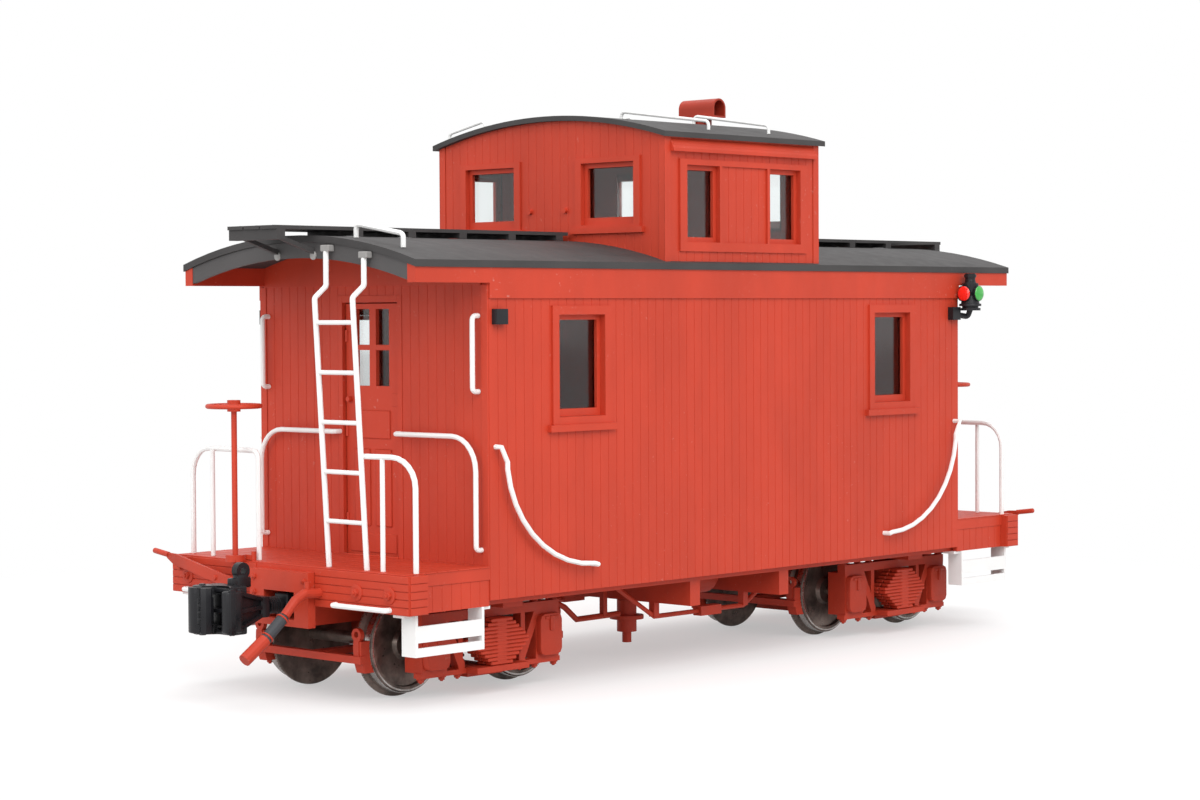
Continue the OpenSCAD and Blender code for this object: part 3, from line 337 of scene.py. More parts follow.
def disc(bm, centre, axis, radius, height, sides=20, top=None, chamfer=0.0):
    """A round (or, with six sides, a hexagonal) stub that stands on centre along axis."""
    top = radius if top is None else top
    place = Matrix.Translation(centre) @ facing(axis) @ Matrix.Translation((0, 0, height / 2))
    made = bmesh.ops.create_cone(bm, cap_ends=True, segments=sides, radius1=radius, radius2=top,
                                 depth=height, matrix=place)
    if chamfer:
        tip = Vector(centre) + Vector(axis).normalized() * height
        rim = list({edge for vert in made["verts"] for edge in vert.link_edges
                    if all((v.co - tip).dot(Vector(axis)) > -1e-4 for v in edge.verts)})
        bmesh.ops.bevel(bm, geom=rim, offset=chamfer, segments=2, profile=0.5, affect="EDGES", material=-1)


def bolt(bm, centre, axis, nut=2.0, washer=0.0):
    """A hexagon nut on its stud end, on a round washer where asked for."""
    at = Vector(centre)
    way = Vector(axis)
    if washer:
        disc(bm, at, axis, washer, 0.5, 28, chamfer=0.15)
        at = at + way * 0.5
    disc(bm, at, axis, nut * 0.577, nut * 0.42, 6, chamfer=nut * 0.06)
    disc(bm, at + way * nut * 0.42, axis, nut * 0.28, nut * 0.22, 12, chamfer=0.1)


def ring(bm, centre, axis, radius, thick, around=32, across=10):
    """A torus, spun from a circle."""
    start = Matrix.Translation(centre) @ facing(axis)
    made = bmesh.ops.create_circle(bm, cap_ends=False, segments=across, radius=thick,
                                   matrix=start @ Matrix.Translation((radius, 0, 0))
                                   @ Matrix.Rotation(math.radians(90), 4, "X"))
    edges = list({edge for vert in made["verts"] for edge in vert.link_edges})
    bmesh.ops.spin(bm, geom=made["verts"] + edges, cent=centre, axis=axis, dvec=(0, 0, 0),
                   angle=math.tau, steps=around, use_merge=True)


def coil(bm, centre, axis, radius, wire, pitch, turns, around=14, across=6):
    """A coil spring that climbs along axis from centre."""
    start = Matrix.Translation(centre) @ facing(axis)
    made = bmesh.ops.create_circle(bm, cap_ends=True, segments=across, radius=wire,
                                   matrix=start @ Matrix.Translation((radius, 0, 0))
                                   @ Matrix.Rotation(math.radians(90), 4, "X"))
    face = made["verts"][0].link_faces[0]
    steps = around * turns
    bmesh.ops.spin(bm, geom=[face], cent=centre, axis=axis, dvec=Vector(axis) * (pitch / around),
                   angle=math.tau * turns, steps=steps, use_merge=False, use_duplicate=False)


def wedge(bm, near, far, z, chamfer, lift=0.0):
    """A block along X whose half width and half height grow from near to far, each (x, half width, half
    height). lift raises its far end."""
    made = bmesh.ops.create_cube(bm, size=2.0)
    for vert in made["verts"]:
        x, wide, high = far if vert.co.x > 0 else near
        rise = lift if vert.co.x > 0 else 0.0
        vert.co = Vector((x, vert.co.y * wide, z + rise + vert.co.z * high))
    edges = list({edge for vert in made["verts"] for edge in vert.link_edges})
    bmesh.ops.bevel(bm, geom=edges, offset=chamfer, segments=2, profile=0.5, affect="EDGES", material=-1)


def prism(bm, outline, low, high, chamfer=0.0, up="Z"):
    """A plate whose outline is given as points across up, between two places along it."""
    order = {"Z": lambda a, b, c: (a, b, c), "X": lambda a, b, c: (c, a, b)}[up]
    ends = [[bm.verts.new(order(a, b, c)) for a, b in outline] for c in (low, high)]
    faces = [bm.faces.new(ends[0][::-1]), bm.faces.new(ends[1])]
    count = len(outline)
    for i in range(count):
        j = (i + 1) % count
        bm.faces.new((ends[0][i], ends[0][j], ends[1][j], ends[1][i]))
    if chamfer:
        rims = list({edge for face in faces for edge in face.edges})
        bmesh.ops.bevel(bm, geom=rims, offset=chamfer, segments=2, profile=0.5, affect="EDGES", material=-1)


def sector(centre, radius, start, stop, steps=8):
    """Points on an arc, angles in degrees."""
    return [(centre[0] + radius * math.cos(math.radians(start + (stop - start) * i / steps)),
             centre[1] + radius * math.sin(math.radians(start + (stop - start) * i / steps)))
            for i in range(steps + 1)]


def annulus(bm, centre, axis, inner, outer, width, steps=28):
    """A flat ring with a square section, spun about axis through centre."""
    place = Matrix.Translation(centre) @ facing(axis)
    rim = ((inner, -width / 2), (outer, -width / 2), (outer, width / 2), (inner, width / 2))
    verts = [bm.verts.new(place @ Vector((r, 0, h))) for r, h in rim]
    edges = [bm.edges.new((verts[i], verts[(i + 1) % 4])) for i in range(4)]
    bmesh.ops.spin(bm, geom=verts + edges, cent=centre, axis=axis, dvec=(0, 0, 0),
                   angle=math.tau, steps=steps, use_merge=True)


def lid(bm, low, high, corner, rim):
    """A plate seen from the side of the car, its four corners cut, its outer rim chamfered."""
    edges = {edge for vert in block(bm, low, high) for edge in vert.link_edges}
    across = [edge for edge in edges if abs(edge.verts[0].co.y - edge.verts[1].co.y) > 1e-4]
    cut = bmesh.ops.bevel(bm, geom=across, offset=corner, segments=2, profile=0.5, affect="EDGES",
                          material=-1)
    faces = {face for face in cut["faces"]} | {face for vert in cut["verts"] for face in vert.link_faces}
    outer = max(abs(low[1]), abs(high[1]))
    rims = {edge for face in faces for edge in face.edges
            if all(abs(abs(vert.co.y) - outer) < 1e-4 for vert in edge.verts)}
    bmesh.ops.bevel(bm, geom=list(rims), offset=rim, segments=2, profile=0.5, affect="EDGES", material=-1)


def half_turn(end):
    """Half a turn about the upright axis for the front end, none for the rear."""
    return Matrix.Rotation(math.pi, 4, "Z") if end < 0 else Matrix.Identity(4)


def turned(bm, end):
    """Carries a mesh made for the rear end to its own end."""
    bmesh.ops.transform(bm, matrix=half_turn(end), verts=bm.verts)
    return bm


# ---------------------------------------------------------------- boarding
def board_strip(bm, sizes, low, high, face, out, run):
    """One board on a wall: out is the axis it faces, run the axis across it."""
    groove, proud = sizes.groove / MM, sizes.proud / MM
    a, b = list(low), list(high)
    a[run] += groove / 2
    b[run] -= groove / 2
    sign = 1 if face >= 0 else -1
    inner, outer = face - sign * 0.05, face + sign * proud
    a[out], b[out] = min(inner, outer), max(inner, outer)
    verts = block(bm, a, b)
    edges = {edge for vert in verts for edge in vert.link_edges}
    front = [edge for edge in edges
             if all(abs(v.co[out] - outer) < 1e-4 for v in edge.verts)
             and abs(edge.verts[0].co[run] - edge.verts[1].co[run]) < 1e-4]
    bmesh.ops.bevel(bm, geom=front, offset=proud * 0.7, segments=1, profile=0.5, affect="EDGES", material=-1)


def boarding(bm, sizes, start, stop, face, out, run, bottom, top, cuts=()):
    """A row of boards from start to stop along run. bottom and top give the heights at a place; a cut is
    (from, to, low, high) and leaves its heights free of boards."""
    count = max(1, round((stop - start) / (sizes.board / MM)))
    width = (stop - start) / count
    for i in range(count):
        a, b = start + i * width, start + (i + 1) * width
        middle = (a + b) / 2
        pieces = [(bottom(middle), top(middle))]
        for left, right, z0, z1 in cuts:
            if b > left and a < right:
                pieces = [part for lo, hi in pieces for part in ((lo, min(hi, z0)), (max(lo, z1), hi))
                          if part[1] - part[0] > 0.3]
        for lo, hi in pieces:
            low, high = [0, 0, lo], [0, 0, hi]
            low[run], high[run] = a, b
            board_strip(bm, sizes, low, high, face, out, run)


def level(z):
    return lambda place: z


class CABOOSE_OT_finishes(bpy.types.Operator):
    """Mix the finishes and paint the CAD nodes with them"""
    bl_idname = "caboose.finishes"
    bl_label = "Finishes"

    def execute(self, context):
        mix_finishes(context.scene.caboose_colours)
        by_slot = {"red_paint": "red", "roof_paint": "roof", "white_paint": "rail", "coupler_black": "black",
                   "lamp_black": "lamp", "hose_rubber": "hose", "clear_glazing": "glass",
                   "wheel_metal": "wheel"}
        gear = ("truck_", "brake_beams", "truss", "air_tank", "brake_pipe", "needle", "body_bolsters",
                "side_sills", "centre_sills", "hose_fittings")
        for row in frame["record"]["subparts"]:
            node = frame["nodes"][row["node"]]
            finish = by_slot[row["material_slot"]]
            if row["node"].startswith(gear):
                finish = "gear"
            # the fascias get the lightened roof grey, painted light
            finish = {"roof_fascias": "fascia", "smoke_jack": "jack"}.get(row["node"], finish)
            node.data.materials.clear()
            node.data.materials.append(FINISH[finish])
        return {"FINISHED"}


class CABOOSE_OT_side_boards(bpy.types.Operator):
    """Board the side walls up to the letter board"""
    bl_idname = "caboose.side_boards"
    bl_label = "Side boards"

    def execute(self, context):
        sizes = context.scene.caboose_sizes
        cuts = [(s * WINDOW_X - WINDOW_W / 2, s * WINDOW_X + WINDOW_W / 2,
                 WINDOW_Z - 4.6, WINDOW_Z + WINDOW_H + CASING - 0.2) for s in (-1, 1)]
        for side, name in SIDES:
            bm = bmesh.new()
            boarding(bm, sizes, -BODY_X, BODY_X, side * BODY_Y, 1, 0,
                     level(SIDE_BOTTOM), level(PLATE_Z - FRIEZE_H), cuts)
            new_piece(f"side_boards_{name}", bm, "red", "body")
        return {"FINISHED"}


class CABOOSE_OT_end_boards(bpy.types.Operator):
    """Board the end walls beside and over the doors, with corner posts and door posts"""
    bl_idname = "caboose.end_boards"
    bl_label = "End boards"

    def execute(self, context):
        sizes = context.scene.caboose_sizes
        door, door_top = 13.8, DECK_TOP + 85.6
        corner, post, header = 3.2, 2.2, 2.4
        for end, name in ENDS:
            bm = bmesh.new()
            for a, b in ((-BODY_Y + corner, -door - post), (door + post, BODY_Y - corner)):
                boarding(bm, sizes, a, b, BODY_X, 0, 1, level(DECK_TOP), level(END_FRIEZE_Z))
            boarding(bm, sizes, -door - post, door + post, BODY_X, 0, 1,
                     level(door_top + header), level(END_FRIEZE_Z))
            for s in (-1, 1):
                a, b = sorted((s * door, s * (door + post)))
                block(bm, (BODY_X - 0.05, a, DECK_TOP), (BODY_X + 0.3, b, door_top + header), 0.1)
                a, b = sorted((s * (BODY_Y - corner), s * BODY_Y))
                block(bm, (BODY_X - 0.05, a, DECK_TOP), (BODY_X + 0.45, b, END_FRIEZE_Z), 0.15)
            block(bm, (BODY_X - 0.05, -door, door_top), (BODY_X + 0.3, door, door_top + header), 0.1)
            block(bm, (BODY_X - 0.05, -door, DECK_TOP), (BODY_X + 0.9, door, DECK_TOP + 0.8), 0.15)
            new_piece(f"end_boards_{name}", turned(bm, end), "red", "body")
        return {"FINISHED"}


class CABOOSE_OT_cupola_boards(bpy.types.Operator):
    """Board the cupola's four walls down to the curve of the roof, with a drip strip along each side"""
    bl_idname = "caboose.cupola_boards"
    bl_label = "Cupola boards"

    def execute(self, context):
        sizes = context.scene.caboose_sizes
        corner, under_roof = 2.6, 1.2
        for end, name in ENDS:
            bm = bmesh.new()
            cuts = [(s * CUP_END_Y - CUP_END_W / 2, s * CUP_END_Y + CUP_END_W / 2,
                     CUP_END_Z - 2.8, CUP_END_Z + CUP_END_H + 1.8) for s in (-1, 1)]
            boarding(bm, sizes, -CUP_Y + corner, CUP_Y - corner, CUP_X, 0, 1,
                     lambda y: arch(y, CROWN, ROOF_R) - 0.9,
                     lambda y: arch(y, CUP_CROWN, CUP_R) - under_roof, cuts)
            for s in (-1, 1):
                a, b = sorted((s * (CUP_Y - corner), s * (CUP_Y + 0.35)))
                block(bm, (CUP_X - 0.05, a, arch(CUP_Y, CROWN, ROOF_R) - 0.5),
                      (CUP_X + 0.5, b, arch(CUP_Y, CUP_CROWN, CUP_R) - under_roof), 0.15)
            new_piece(f"cupola_end_boards_{name}", turned(bm, end), "red", "body")
        frame_x = CUP_X - 7
        for side, name in SIDES:
            bm = bmesh.new()
            cuts = [(s * CUP_SIDE_X - CUP_SIDE_W / 2, s * CUP_SIDE_X + CUP_SIDE_W / 2,
                     CUP_SIDE_Z, CUP_SIDE_Z + CUP_SIDE_H) for s in (-1, 1)]
            top = arch(CUP_Y, CUP_CROWN, CUP_R) - under_roof
            low = arch(CUP_Y, CROWN, ROOF_R) - 0.5
            hole = [(-frame_x - 0.1, frame_x + 0.1, CUP_SIDE_Z - 3.0, CUP_SIDE_Z + CUP_SIDE_H + 1.8)]
            boarding(bm, sizes, -CUP_X + corner, CUP_X - corner, side * CUP_Y, 1, 0,
                     level(low), level(top), hole)
            boarding(bm, sizes, -CUP_SIDE_X + 9.9, CUP_SIDE_X - 9.9, side * CUP_Y, 1, 0,
                     level(CUP_SIDE_Z), level(CUP_SIDE_Z + CUP_SIDE_H), cuts)
            for s in (-1, 1):
                a, b = sorted((s * (CUP_X - corner), s * (CUP_X + 0.5)))
                y0, y1 = sorted((side * (CUP_Y - 0.05), side * (CUP_Y + 0.5)))
                block(bm, (a, y0, low), (b, y1, top), 0.15)
            new_piece(f"cupola_side_boards_{name}", bm, "red", "body")
        drip = [(CUP_Y - 0.05, DRIP_Z - 0.3), (CUP_Y + 2.2, DRIP_Z - 0.3), (CUP_Y + 2.2, DRIP_Z + 0.8),
                (CUP_Y - 0.05, DRIP_Z + 4.6)]
        bm = bmesh.new()
        prism(bm, drip, -CUP_X + 2.4, CUP_X - 2.4, 0.2, "X")
        prism(bm, [(-y, z) for y, z in reversed(drip)], -CUP_X + 2.4, CUP_X - 2.4, 0.2, "X")
        new_piece("cupola_drips", bm, "red", "body")
        return {"FINISHED"}


class CABOOSE_OT_deck(bpy.types.Operator):
    """Plank the platforms and board their skirts and end beams"""
    bl_idname = "caboose.deck"
    bl_label = "Platforms"

    def execute(self, context):
        sizes = context.scene.caboose_sizes
        plank = sizes.plank / MM
        skirt_y = BODY_Y - 0.4
        for end, name in ENDS:
            bm = bmesh.new()
            count = round((BEAM_X - BODY_X) / plank)
            width = (BEAM_X - BODY_X) / count
            for i in range(count):
                x = BODY_X + i * width
                block(bm, (x + 0.15, -BODY_Y - 0.3, DECK_TOP - 0.05), (x + width - 0.15, BODY_Y + 0.3,
                      DECK_TOP + 0.35), 0.12)
            new_piece(f"deck_planks_{name}", turned(bm, end), "red", "body")
            bm = bmesh.new()
            for s in (-1, 1):
                boarding(bm, sizes, BODY_X + 0.2, BEAM_X - 8.2, s * skirt_y, 1, 0,
                         level(BEAM_BOTTOM), level(DECK_TOP - 4.0))
            lines = 5
            depth = DECK_TOP - BEAM_BOTTOM
            for s in (-1, 1):
                for i in range(lines):
                    z = BEAM_BOTTOM + i * depth / lines
                    low, high = z + 0.12, z + depth / lines - 0.12
                    a, b = sorted((s * 14.8, s * (BEAM_Y - 0.2)))
                    block(bm, (BEAM_X - 0.05, a, low), (BEAM_X + 0.35, b, high), 0.12)
                    a, b = sorted((s * (BEAM_Y - 0.05), s * (BEAM_Y + 0.35)))
                    block(bm, (BEAM_X - 7.6, a, low), (BEAM_X - 0.4, b, high), 0.12)
            new_piece(f"platform_boards_{name}", turned(bm, end), "red", "body")
        return {"FINISHED"}


class CABOOSE_OT_beam_fittings(bpy.types.Operator):
    """Truss-rod washers and nuts on the end beams, and bolts round the striker plates"""
    bl_idname = "caboose.beam_fittings"
    bl_label = "End beam fittings"

    def execute(self, context):
        nut = context.scene.caboose_sizes.nut / MM
        for end, name in ENDS:
            bm = bmesh.new()
            for y in TRUSS_Y:
                bolt(bm, (BEAM_X + 0.3, y, DECK_TOP - 6.5), (1, 0, 0), nut, 2.7)
            for y in STRIKER_Y:
                for z in STRIKER_Z:
                    bolt(bm, (BEAM_X + 3, y, z), (1, 0, 0), 1.7)
            new_piece(f"beam_bolts_{name}", turned(bm, end), "gear", "body", 35)
        return {"FINISHED"}


class CABOOSE_OT_ladder_brackets(bpy.types.Operator):
    """Pale brackets that hold the ladders on the arched boards, and round plates behind the walkway struts"""
    bl_idname = "caboose.ladder_brackets"
    bl_label = "Ladder brackets"

    def execute(self, context):
        edge = ROOF_HIGH[0]
        for end, name in ENDS:
            bm = bmesh.new()
            for y in LADDER_Y:
                z = arch(y, CROWN, ROOF_R) - 3.8
                block(bm, (edge - 0.75, y - 2.0, z - 1.0), (edge + 2.0, y + 2.0, z + 1.1), 0.25)
            for y in STRUT_Y:
                disc(bm, (edge - 0.8, y, CROWN - 6.6), (1, 0, 0), 1.5, 0.5, 18, chamfer=0.15)
            new_piece(f"ladder_brackets_{name}", turned(bm, end), "pale", "body", 35)
        return {"FINISHED"}


class CABOOSE_OT_doors(bpy.types.Operator):
    """Lower panels, notice plate, kick plate, lock plate and hinge barrels of both doors"""
    bl_idname = "caboose.doors"
    bl_label = "Door panels"

    # (from, to, low, high, thickness, chamfer), across the door and up from its foot
    plates = (
        (-9.2, -1.4, 10, 36, 0.45, 0.35),      # lower panels
        (1.4, 9.2, 10, 36, 0.45, 0.35),
        (-8.6, 8.6, 39.5, 49, 0.5, 0.25),      # notice plate
        (-11.5, 11.5, 1.2, 7.6, 0.3, 0.15),    # kick plate
        (9.7, 12.6, 50.4, 54.8, 0.25, 0.1),    # lock plate
    )
    hinges = (12, 42, 74)

    def execute(self, context):
        face = DOOR_HIGH[0] - 1.6
        z0 = DOOR_LOW[2]
        for end, name in ENDS:
            bm = bmesh.new()
            for a, b, low, high, thick, chamfer in self.plates:
                block(bm, (face - 0.05, a, z0 + low), (face + thick, b, z0 + high), chamfer)
            for z in self.hinges:
                disc(bm, (face + 0.1, -13.0, z0 + z - 2), (0, 0, 1), 0.6, 4, 12, chamfer=0.1)
            new_piece(f"door_panels_{name}", turned(bm, end), "red", f"door_{name}")
        return {"FINISHED"}


class CABOOSE_OT_trucks(bpy.types.Operator):
    """Leaf springs, journal box lids, bolts and coil springs of both trucks"""
    bl_idname = "caboose.trucks"
    bl_label = "Truck fittings"

    def leaf_packs(self, bm, centre, side):
        """Two full-elliptic packs side by side, longest leaves at mid height."""
        leaves, low, high = 6, 9.7, 25.2
        inner_faces, width = (37.6, 41.4), 3.4
        step = (high - low) / (2 * leaves)
        for start in inner_faces:
            y0, y1 = sorted((side * start, side * (start + width)))
            for i in range(2 * leaves):
                reach = 12.6 - 7.6 * (abs(i + 0.5 - leaves) - 0.5) / (leaves - 1)
                z = low + i * step
                block(bm, (centre - reach, y0, z + 0.06), (centre + reach, y1, z + step - 0.06), 0.28)
            block(bm, (centre - 2.3, y0 + 0.1, low), (centre + 2.3, y1 + 0.25 * side, high), 0.25)

    def execute(self, context):
        column, box_bolt, coil_y = 14.4, 4.6, 31.4
        for end, name in ENDS:
            centre = end * TRUCK_X
            bolts, springs, leaf = bmesh.new(), bmesh.new(), bmesh.new()
            for s in (-1, 1):
                for k in (-1, 1):
                    x = centre + k * AXLE_X
                    y0, y1 = sorted((s * (BOX_OUT - 1.4), s * (BOX_OUT + 1.0)))
                    lid(bolts, (x - 5.2, y0, AXLE_Z - 7.4), (x + 5.2, y1, AXLE_Z + 6.8), 2.2, 0.5)
                    y0, y1 = sorted((s * BOX_OUT, s * (BOX_OUT + 1.6)))
                    block(bolts, (x - 1.0, y0, AXLE_Z + 1.0), (x + 1.0, y1, AXLE_Z + 6.0), 0.4, 2)
                    hinge = (x - 3.0, s * (BOX_OUT + 0.4), AXLE_Z + 5.4)
                    disc(bolts, hinge, (1, 0, 0), 0.9, 6.0, 16, chamfer=0.2)
                    for at in (x - box_bolt, x + box_bolt, centre + k * column):
                        for z, way in ((CHORD_Z, 1), (TIE_Z, -1)):
                            bolt(bolts, (at, s * (FRAME_Y + 1.8), z), (0, 0, way), 1.9, 1.5)
                    coil(springs, (centre + k * 8.0, s * coil_y, 9.2), (0, 0, 1), 2.0, 0.45, 1.75, 9)
                self.leaf_packs(leaf, centre, s)
            new_piece(f"truck_bolts_{name}", bolts, "gear", f"truck_{name}", 35)
            new_piece(f"truck_coils_{name}", springs, "black", f"truck_{name}", 60)
            packs = new_piece(f"leaf_packs_{name}", leaf, "gear", f"truck_{name}")
            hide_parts(f"truck_springs_{name}")
        return {"FINISHED"}


class CABOOSE_OT_wheels(bpy.types.Operator):
    """Bright treads, rims and flange edges on the wheelsets"""
    bl_idname = "caboose.wheels"
    bl_label = "Wheel treads"

    # (place along the axle, inner radius, outer radius, width): tread, rim, flange edge
    bands = ((24.8, 15.9, 16.06, 2.8), (26.78, 14.9, 15.44, 0.16), (21.25, 17.3, 17.5, 0.5))

    def execute(self, context):
        for end, name in ENDS:
            for k, place in ((end, "outer"), (-end, "inner")):
                x = end * TRUCK_X + k * AXLE_X
                bm = bmesh.new()
                for s in (-1, 1):
                    for y, inner, outer, width in self.bands:
                        annulus(bm, (x, s * y, AXLE_Z), (0, 1, 0), inner, outer, width, 96)
                new_piece(f"treads_{name}_{place}", bm, "steel", f"wheelset_{name}_{place}",
                          30)
        return {"FINISHED"}


class CABOOSE_OT_lamps(bpy.types.Operator):
    """Coloured lenses with their rims on the two marker lamps"""
    bl_idname = "caboose.lamps"
    bl_label = "Lamp lenses"

    # (foot above the lens centre, radius, height, sides, radius of its top, chamfer)
    tiers = (
        (-4.9, 4.3, 1.0, 32, 4.3, 0.3),
        (-3.9, 3.6, 7.4, 32, 2.6, 0.2),
        (3.5, 2.7, 1.1, 28, 2.2, 0.3),
        (4.6, 2.1, 1.8, 24, 1.9, 0.2),
        (6.2, 2.3, 0.8, 24, 2.3, 0.25),
    )

    def execute(self, context):
        for s, name in SIDES:
            middle = Vector((LAMP_X, s * LAMP_Y, LAMP_Z))
            rims = bmesh.new()
            for way, finish, tone in (((-1, 0, 0), "red_lens", "red"),
                                      ((1, 0, 0), "red_lens", "red_rear"),
                                      ((0, s, 0), "green_lens", "green"),
                                      ((0, -s, 0), "green_lens", "green_in")):
                bm = bmesh.new()
                centre = middle + Vector(way) * 4.3
                bmesh.ops.create_uvsphere(bm, u_segments=28, v_segments=14, radius=2.85,
                                          matrix=Matrix.Translation(centre) @ facing(way)
                                          @ Matrix.Diagonal((1, 1, 0.26, 1)))
                new_piece(f"lens_{tone}_{name}", bm, finish, "body", 60)
                disc(rims, centre - Vector(way) * 1.4, way, 2.5, 1.4, 28, 3.05, chamfer=0.2)
            for foot, radius, height, sides, top, chamfer in self.tiers:
                disc(rims, middle + Vector((0, 0, foot)), (0, 0, 1), radius, height, sides, top, chamfer)
            new_piece(f"lamp_rims_{name}", rims, "lamp", "body", 40)
        return {"FINISHED"}


class CABOOSE_OT_couplers(bpy.types.Operator):
    """Cast couplers with ribbed cheeks, rounded knuckles, lift eyes and draft springs"""
    bl_idname = "caboose.couplers"
    bl_label = "Couplers"

    centre, low, high = COUPLER_Z, 23.7, 39.3
    pin_x, pin_y = 195.0, -5.4

    def head(self):
        bm = bmesh.new()
        z = self.centre
        pin = (self.pin_x, self.pin_y)
        disc(bm, (146, 0, z - 3.6), (0, 0, 1), 4.1, 7.2, 32, chamfer=0.4)
        block(bm, (146, -3.2, z - 3.6), (167.2, 3.2, z + 3.6), 0.4)
        disc(bm, (167.0, 0, z), (1, 0, 0), 1.7, 9.2, 20)
        coil(bm, (168.6, 0, z), (1, 0, 0), 2.5, 0.42, 1.0, 5)
        block(bm, (174.4, -3.5, z - 3.4), (178.2, 3.5, z + 3.4), 0.5, 2)
        wedge(bm, (177.6, 2.6, 2.8), (191.0, 6.4, 6.6), z, 0.4)
        for side in (-1, 0, 1):
            wedge(bm, (177.4, 3.5, 0.7), (193.4, 8.5, 0.7), z + side * 2.6, 0.25, side * 4.2)
        block(bm, (188.4, -7.0, self.low + 0.6), (190.6, 7.0, self.high - 0.6), 0.7, 2)
        block(bm, (189.6, 5.0, self.low + 0.8), (196.0, 8.6, self.high - 1.2), 0.9, 3)
        block(bm, (192.6, 7.6, self.low + 0.3), (195.0, 8.8, self.high - 0.7), 0.3)
        lug = ([(186.6, 6.6), (186.6, -6.6)] + sector(pin, 3.2, -110, 50)
               + [(192.4, -1.2), (191.2, 1.6), (191.6, 4.6), (193.6, 6.6)])
        for a in (self.low, self.high - 2.9):
            prism(bm, lug, a, a + 2.9, 0.5)
        block(bm, (180.2, -1.2, self.high - 1.4), (188.4, 1.2, self.high + 2.0), 0.5, 2)
        block(bm, (181.4, -1.4, self.high - 1.4), (186.0, 1.4, self.high + 3.2), 0.6, 2)
        annulus(bm, (183.6, 0, self.high + 4.1), (0, 1, 0), 1.1, 2.7, 2.6)
        return bm

    def knuckle(self):
        bm = bmesh.new()
        pin = (self.pin_x, self.pin_y)
        low, high = self.low, self.high
        disc(bm, (*pin, low - 0.4), (0, 0, 1), 1.1, high - low + 0.9, 20, chamfer=0.3)
        disc(bm, (*pin, low + 3.1), (0, 0, 1), 3.2, high - low - 6.2, 32, chamfer=0.3)
        shield = (sector(pin, 4.5, -46, 40) + [(199.2, -0.9), (198.2, 0.5), (196.4, 0.9), (195.2, 0.0)]
                  + sector(pin, 3.5, 62, -46))
        prism(bm, shield, low + 0.5, high - 0.4, 0.35)
        block(bm, (195.6, -6.4, low + 3.3), (198.9, -2.2, high - 3.3), 0.4)
        block(bm, (194.6, -3.0, low + 3.3), (197.4, 0.2, high - 3.3), 0.5, 2)
        for a in (z * 2.2 for z in (-1, 0, 1)):
            disc(bm, (199.0, -1.6, self.centre + a - 0.4), (0, 0, 1), 0.7, 0.8, 12)
        return bm

    def execute(self, context):
        for end, name in ENDS:
            head = new_piece(f"coupler_head_{name}", turned(self.head(), end), "black", f"coupler_{name}",
                             35)
            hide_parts(f"coupler_{name}")
            knuckle = new_piece(f"coupler_knuckle_{name}", turned(self.knuckle(), end), "black",
                                f"knuckle_{name}", 35)
            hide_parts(f"knuckle_{name}")
        return {"FINISHED"}


class CABOOSE_OT_levers(bpy.types.Operator):
    """Uncoupling levers: flat bars across the end beams with round handles"""
    bl_idname = "caboose.levers"
    bl_label = "Uncoupling levers"

    def execute(self, context):
        x = BEAM_X + 2.6
        bar = [(-16.6, DECK_TOP - 8.4), (-28, DECK_TOP - 7.8), (-53, DECK_TOP - 2.6),
               (-56.5, DECK_TOP - 0.6), (-56.5, DECK_TOP + 1.2), (-52, DECK_TOP + 1.0),
               (-27, DECK_TOP - 4.2), (-16.6, DECK_TOP - 6.0)]
        bm = bmesh.new()
        for end, name in ENDS:
            part = bmesh.new()
            prism(part, bar, x + 1.4, x + 2.4, 0.15, "X")
            disc(part, (x + 1.9, -56.0, DECK_TOP + 0.5), (0, -1, 0.13), 0.95, 8.0, 16, chamfer=0.4)
            disc(part, (x + 0.4, -18.2, DECK_TOP - 7.2), (1, 0, 0), 1.1, 3.0, 18, chamfer=0.25)
            disc(part, (x + 1.2, -30.5, DECK_TOP - 5.6), (1, 0, 0), 0.9, 1.8, 16, chamfer=0.2)
            block(part, (BEAM_X, -51.8, DECK_TOP - 4.4), (x + 1.8, -50.2, DECK_TOP - 0.4), 0.2)
            mesh = bpy.data.meshes.new("part")
            turned(part, end).to_mesh(mesh)
            part.free()
            bm.from_mesh(mesh)
            bpy.data.meshes.remove(mesh)
        levers = new_piece("lever_bars", bm, "gear", "body", 40)
        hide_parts("uncoupling_levers")
        return {"FINISHED"}


class CABOOSE_OT_hoses(bpy.types.Operator):
    """Clips round the two air hoses"""
    bl_idname = "caboose.hoses"
    bl_label = "Hose clips"

    def execute(self, context):
        top, low = Vector(HOSE_TOP), Vector(HOSE_LOW)
        along = (low - top).normalized()
        for end, name in ENDS:
            bm = bmesh.new()
            for place in (top + along * 1.3, low - along * 1.2):
                ring(bm, place, along, 1.95, 0.3, 28, 8)
            new_piece(f"hose_clips_{name}", turned(bm, end), "gear", "body", 60)
        return {"FINISHED"}


class CABOOSE_OT_roof(bpy.types.Operator):
    """Bolts on the running boards"""
    bl_idname = "caboose.roof"
    bl_label = "Roof fittings"

    def execute(self, context):
        walk_top = CROWN + 2.8
        supports = [46.5 + i * 23.5 + 2 for i in range(5)] + [175.6]
        boards = (-8.3, 0, 8.3)
        for end, name in ENDS:
            bm = bmesh.new()
            for x in supports:
                for y in boards:
                    disc(bm, (x, y, walk_top - 0.02), (0, 0, 1), 0.5, 0.18, 10)
            new_piece(f"walk_bolts_{name}", turned(bm, end), "roof", "body", 40)
        return {"FINISHED"}


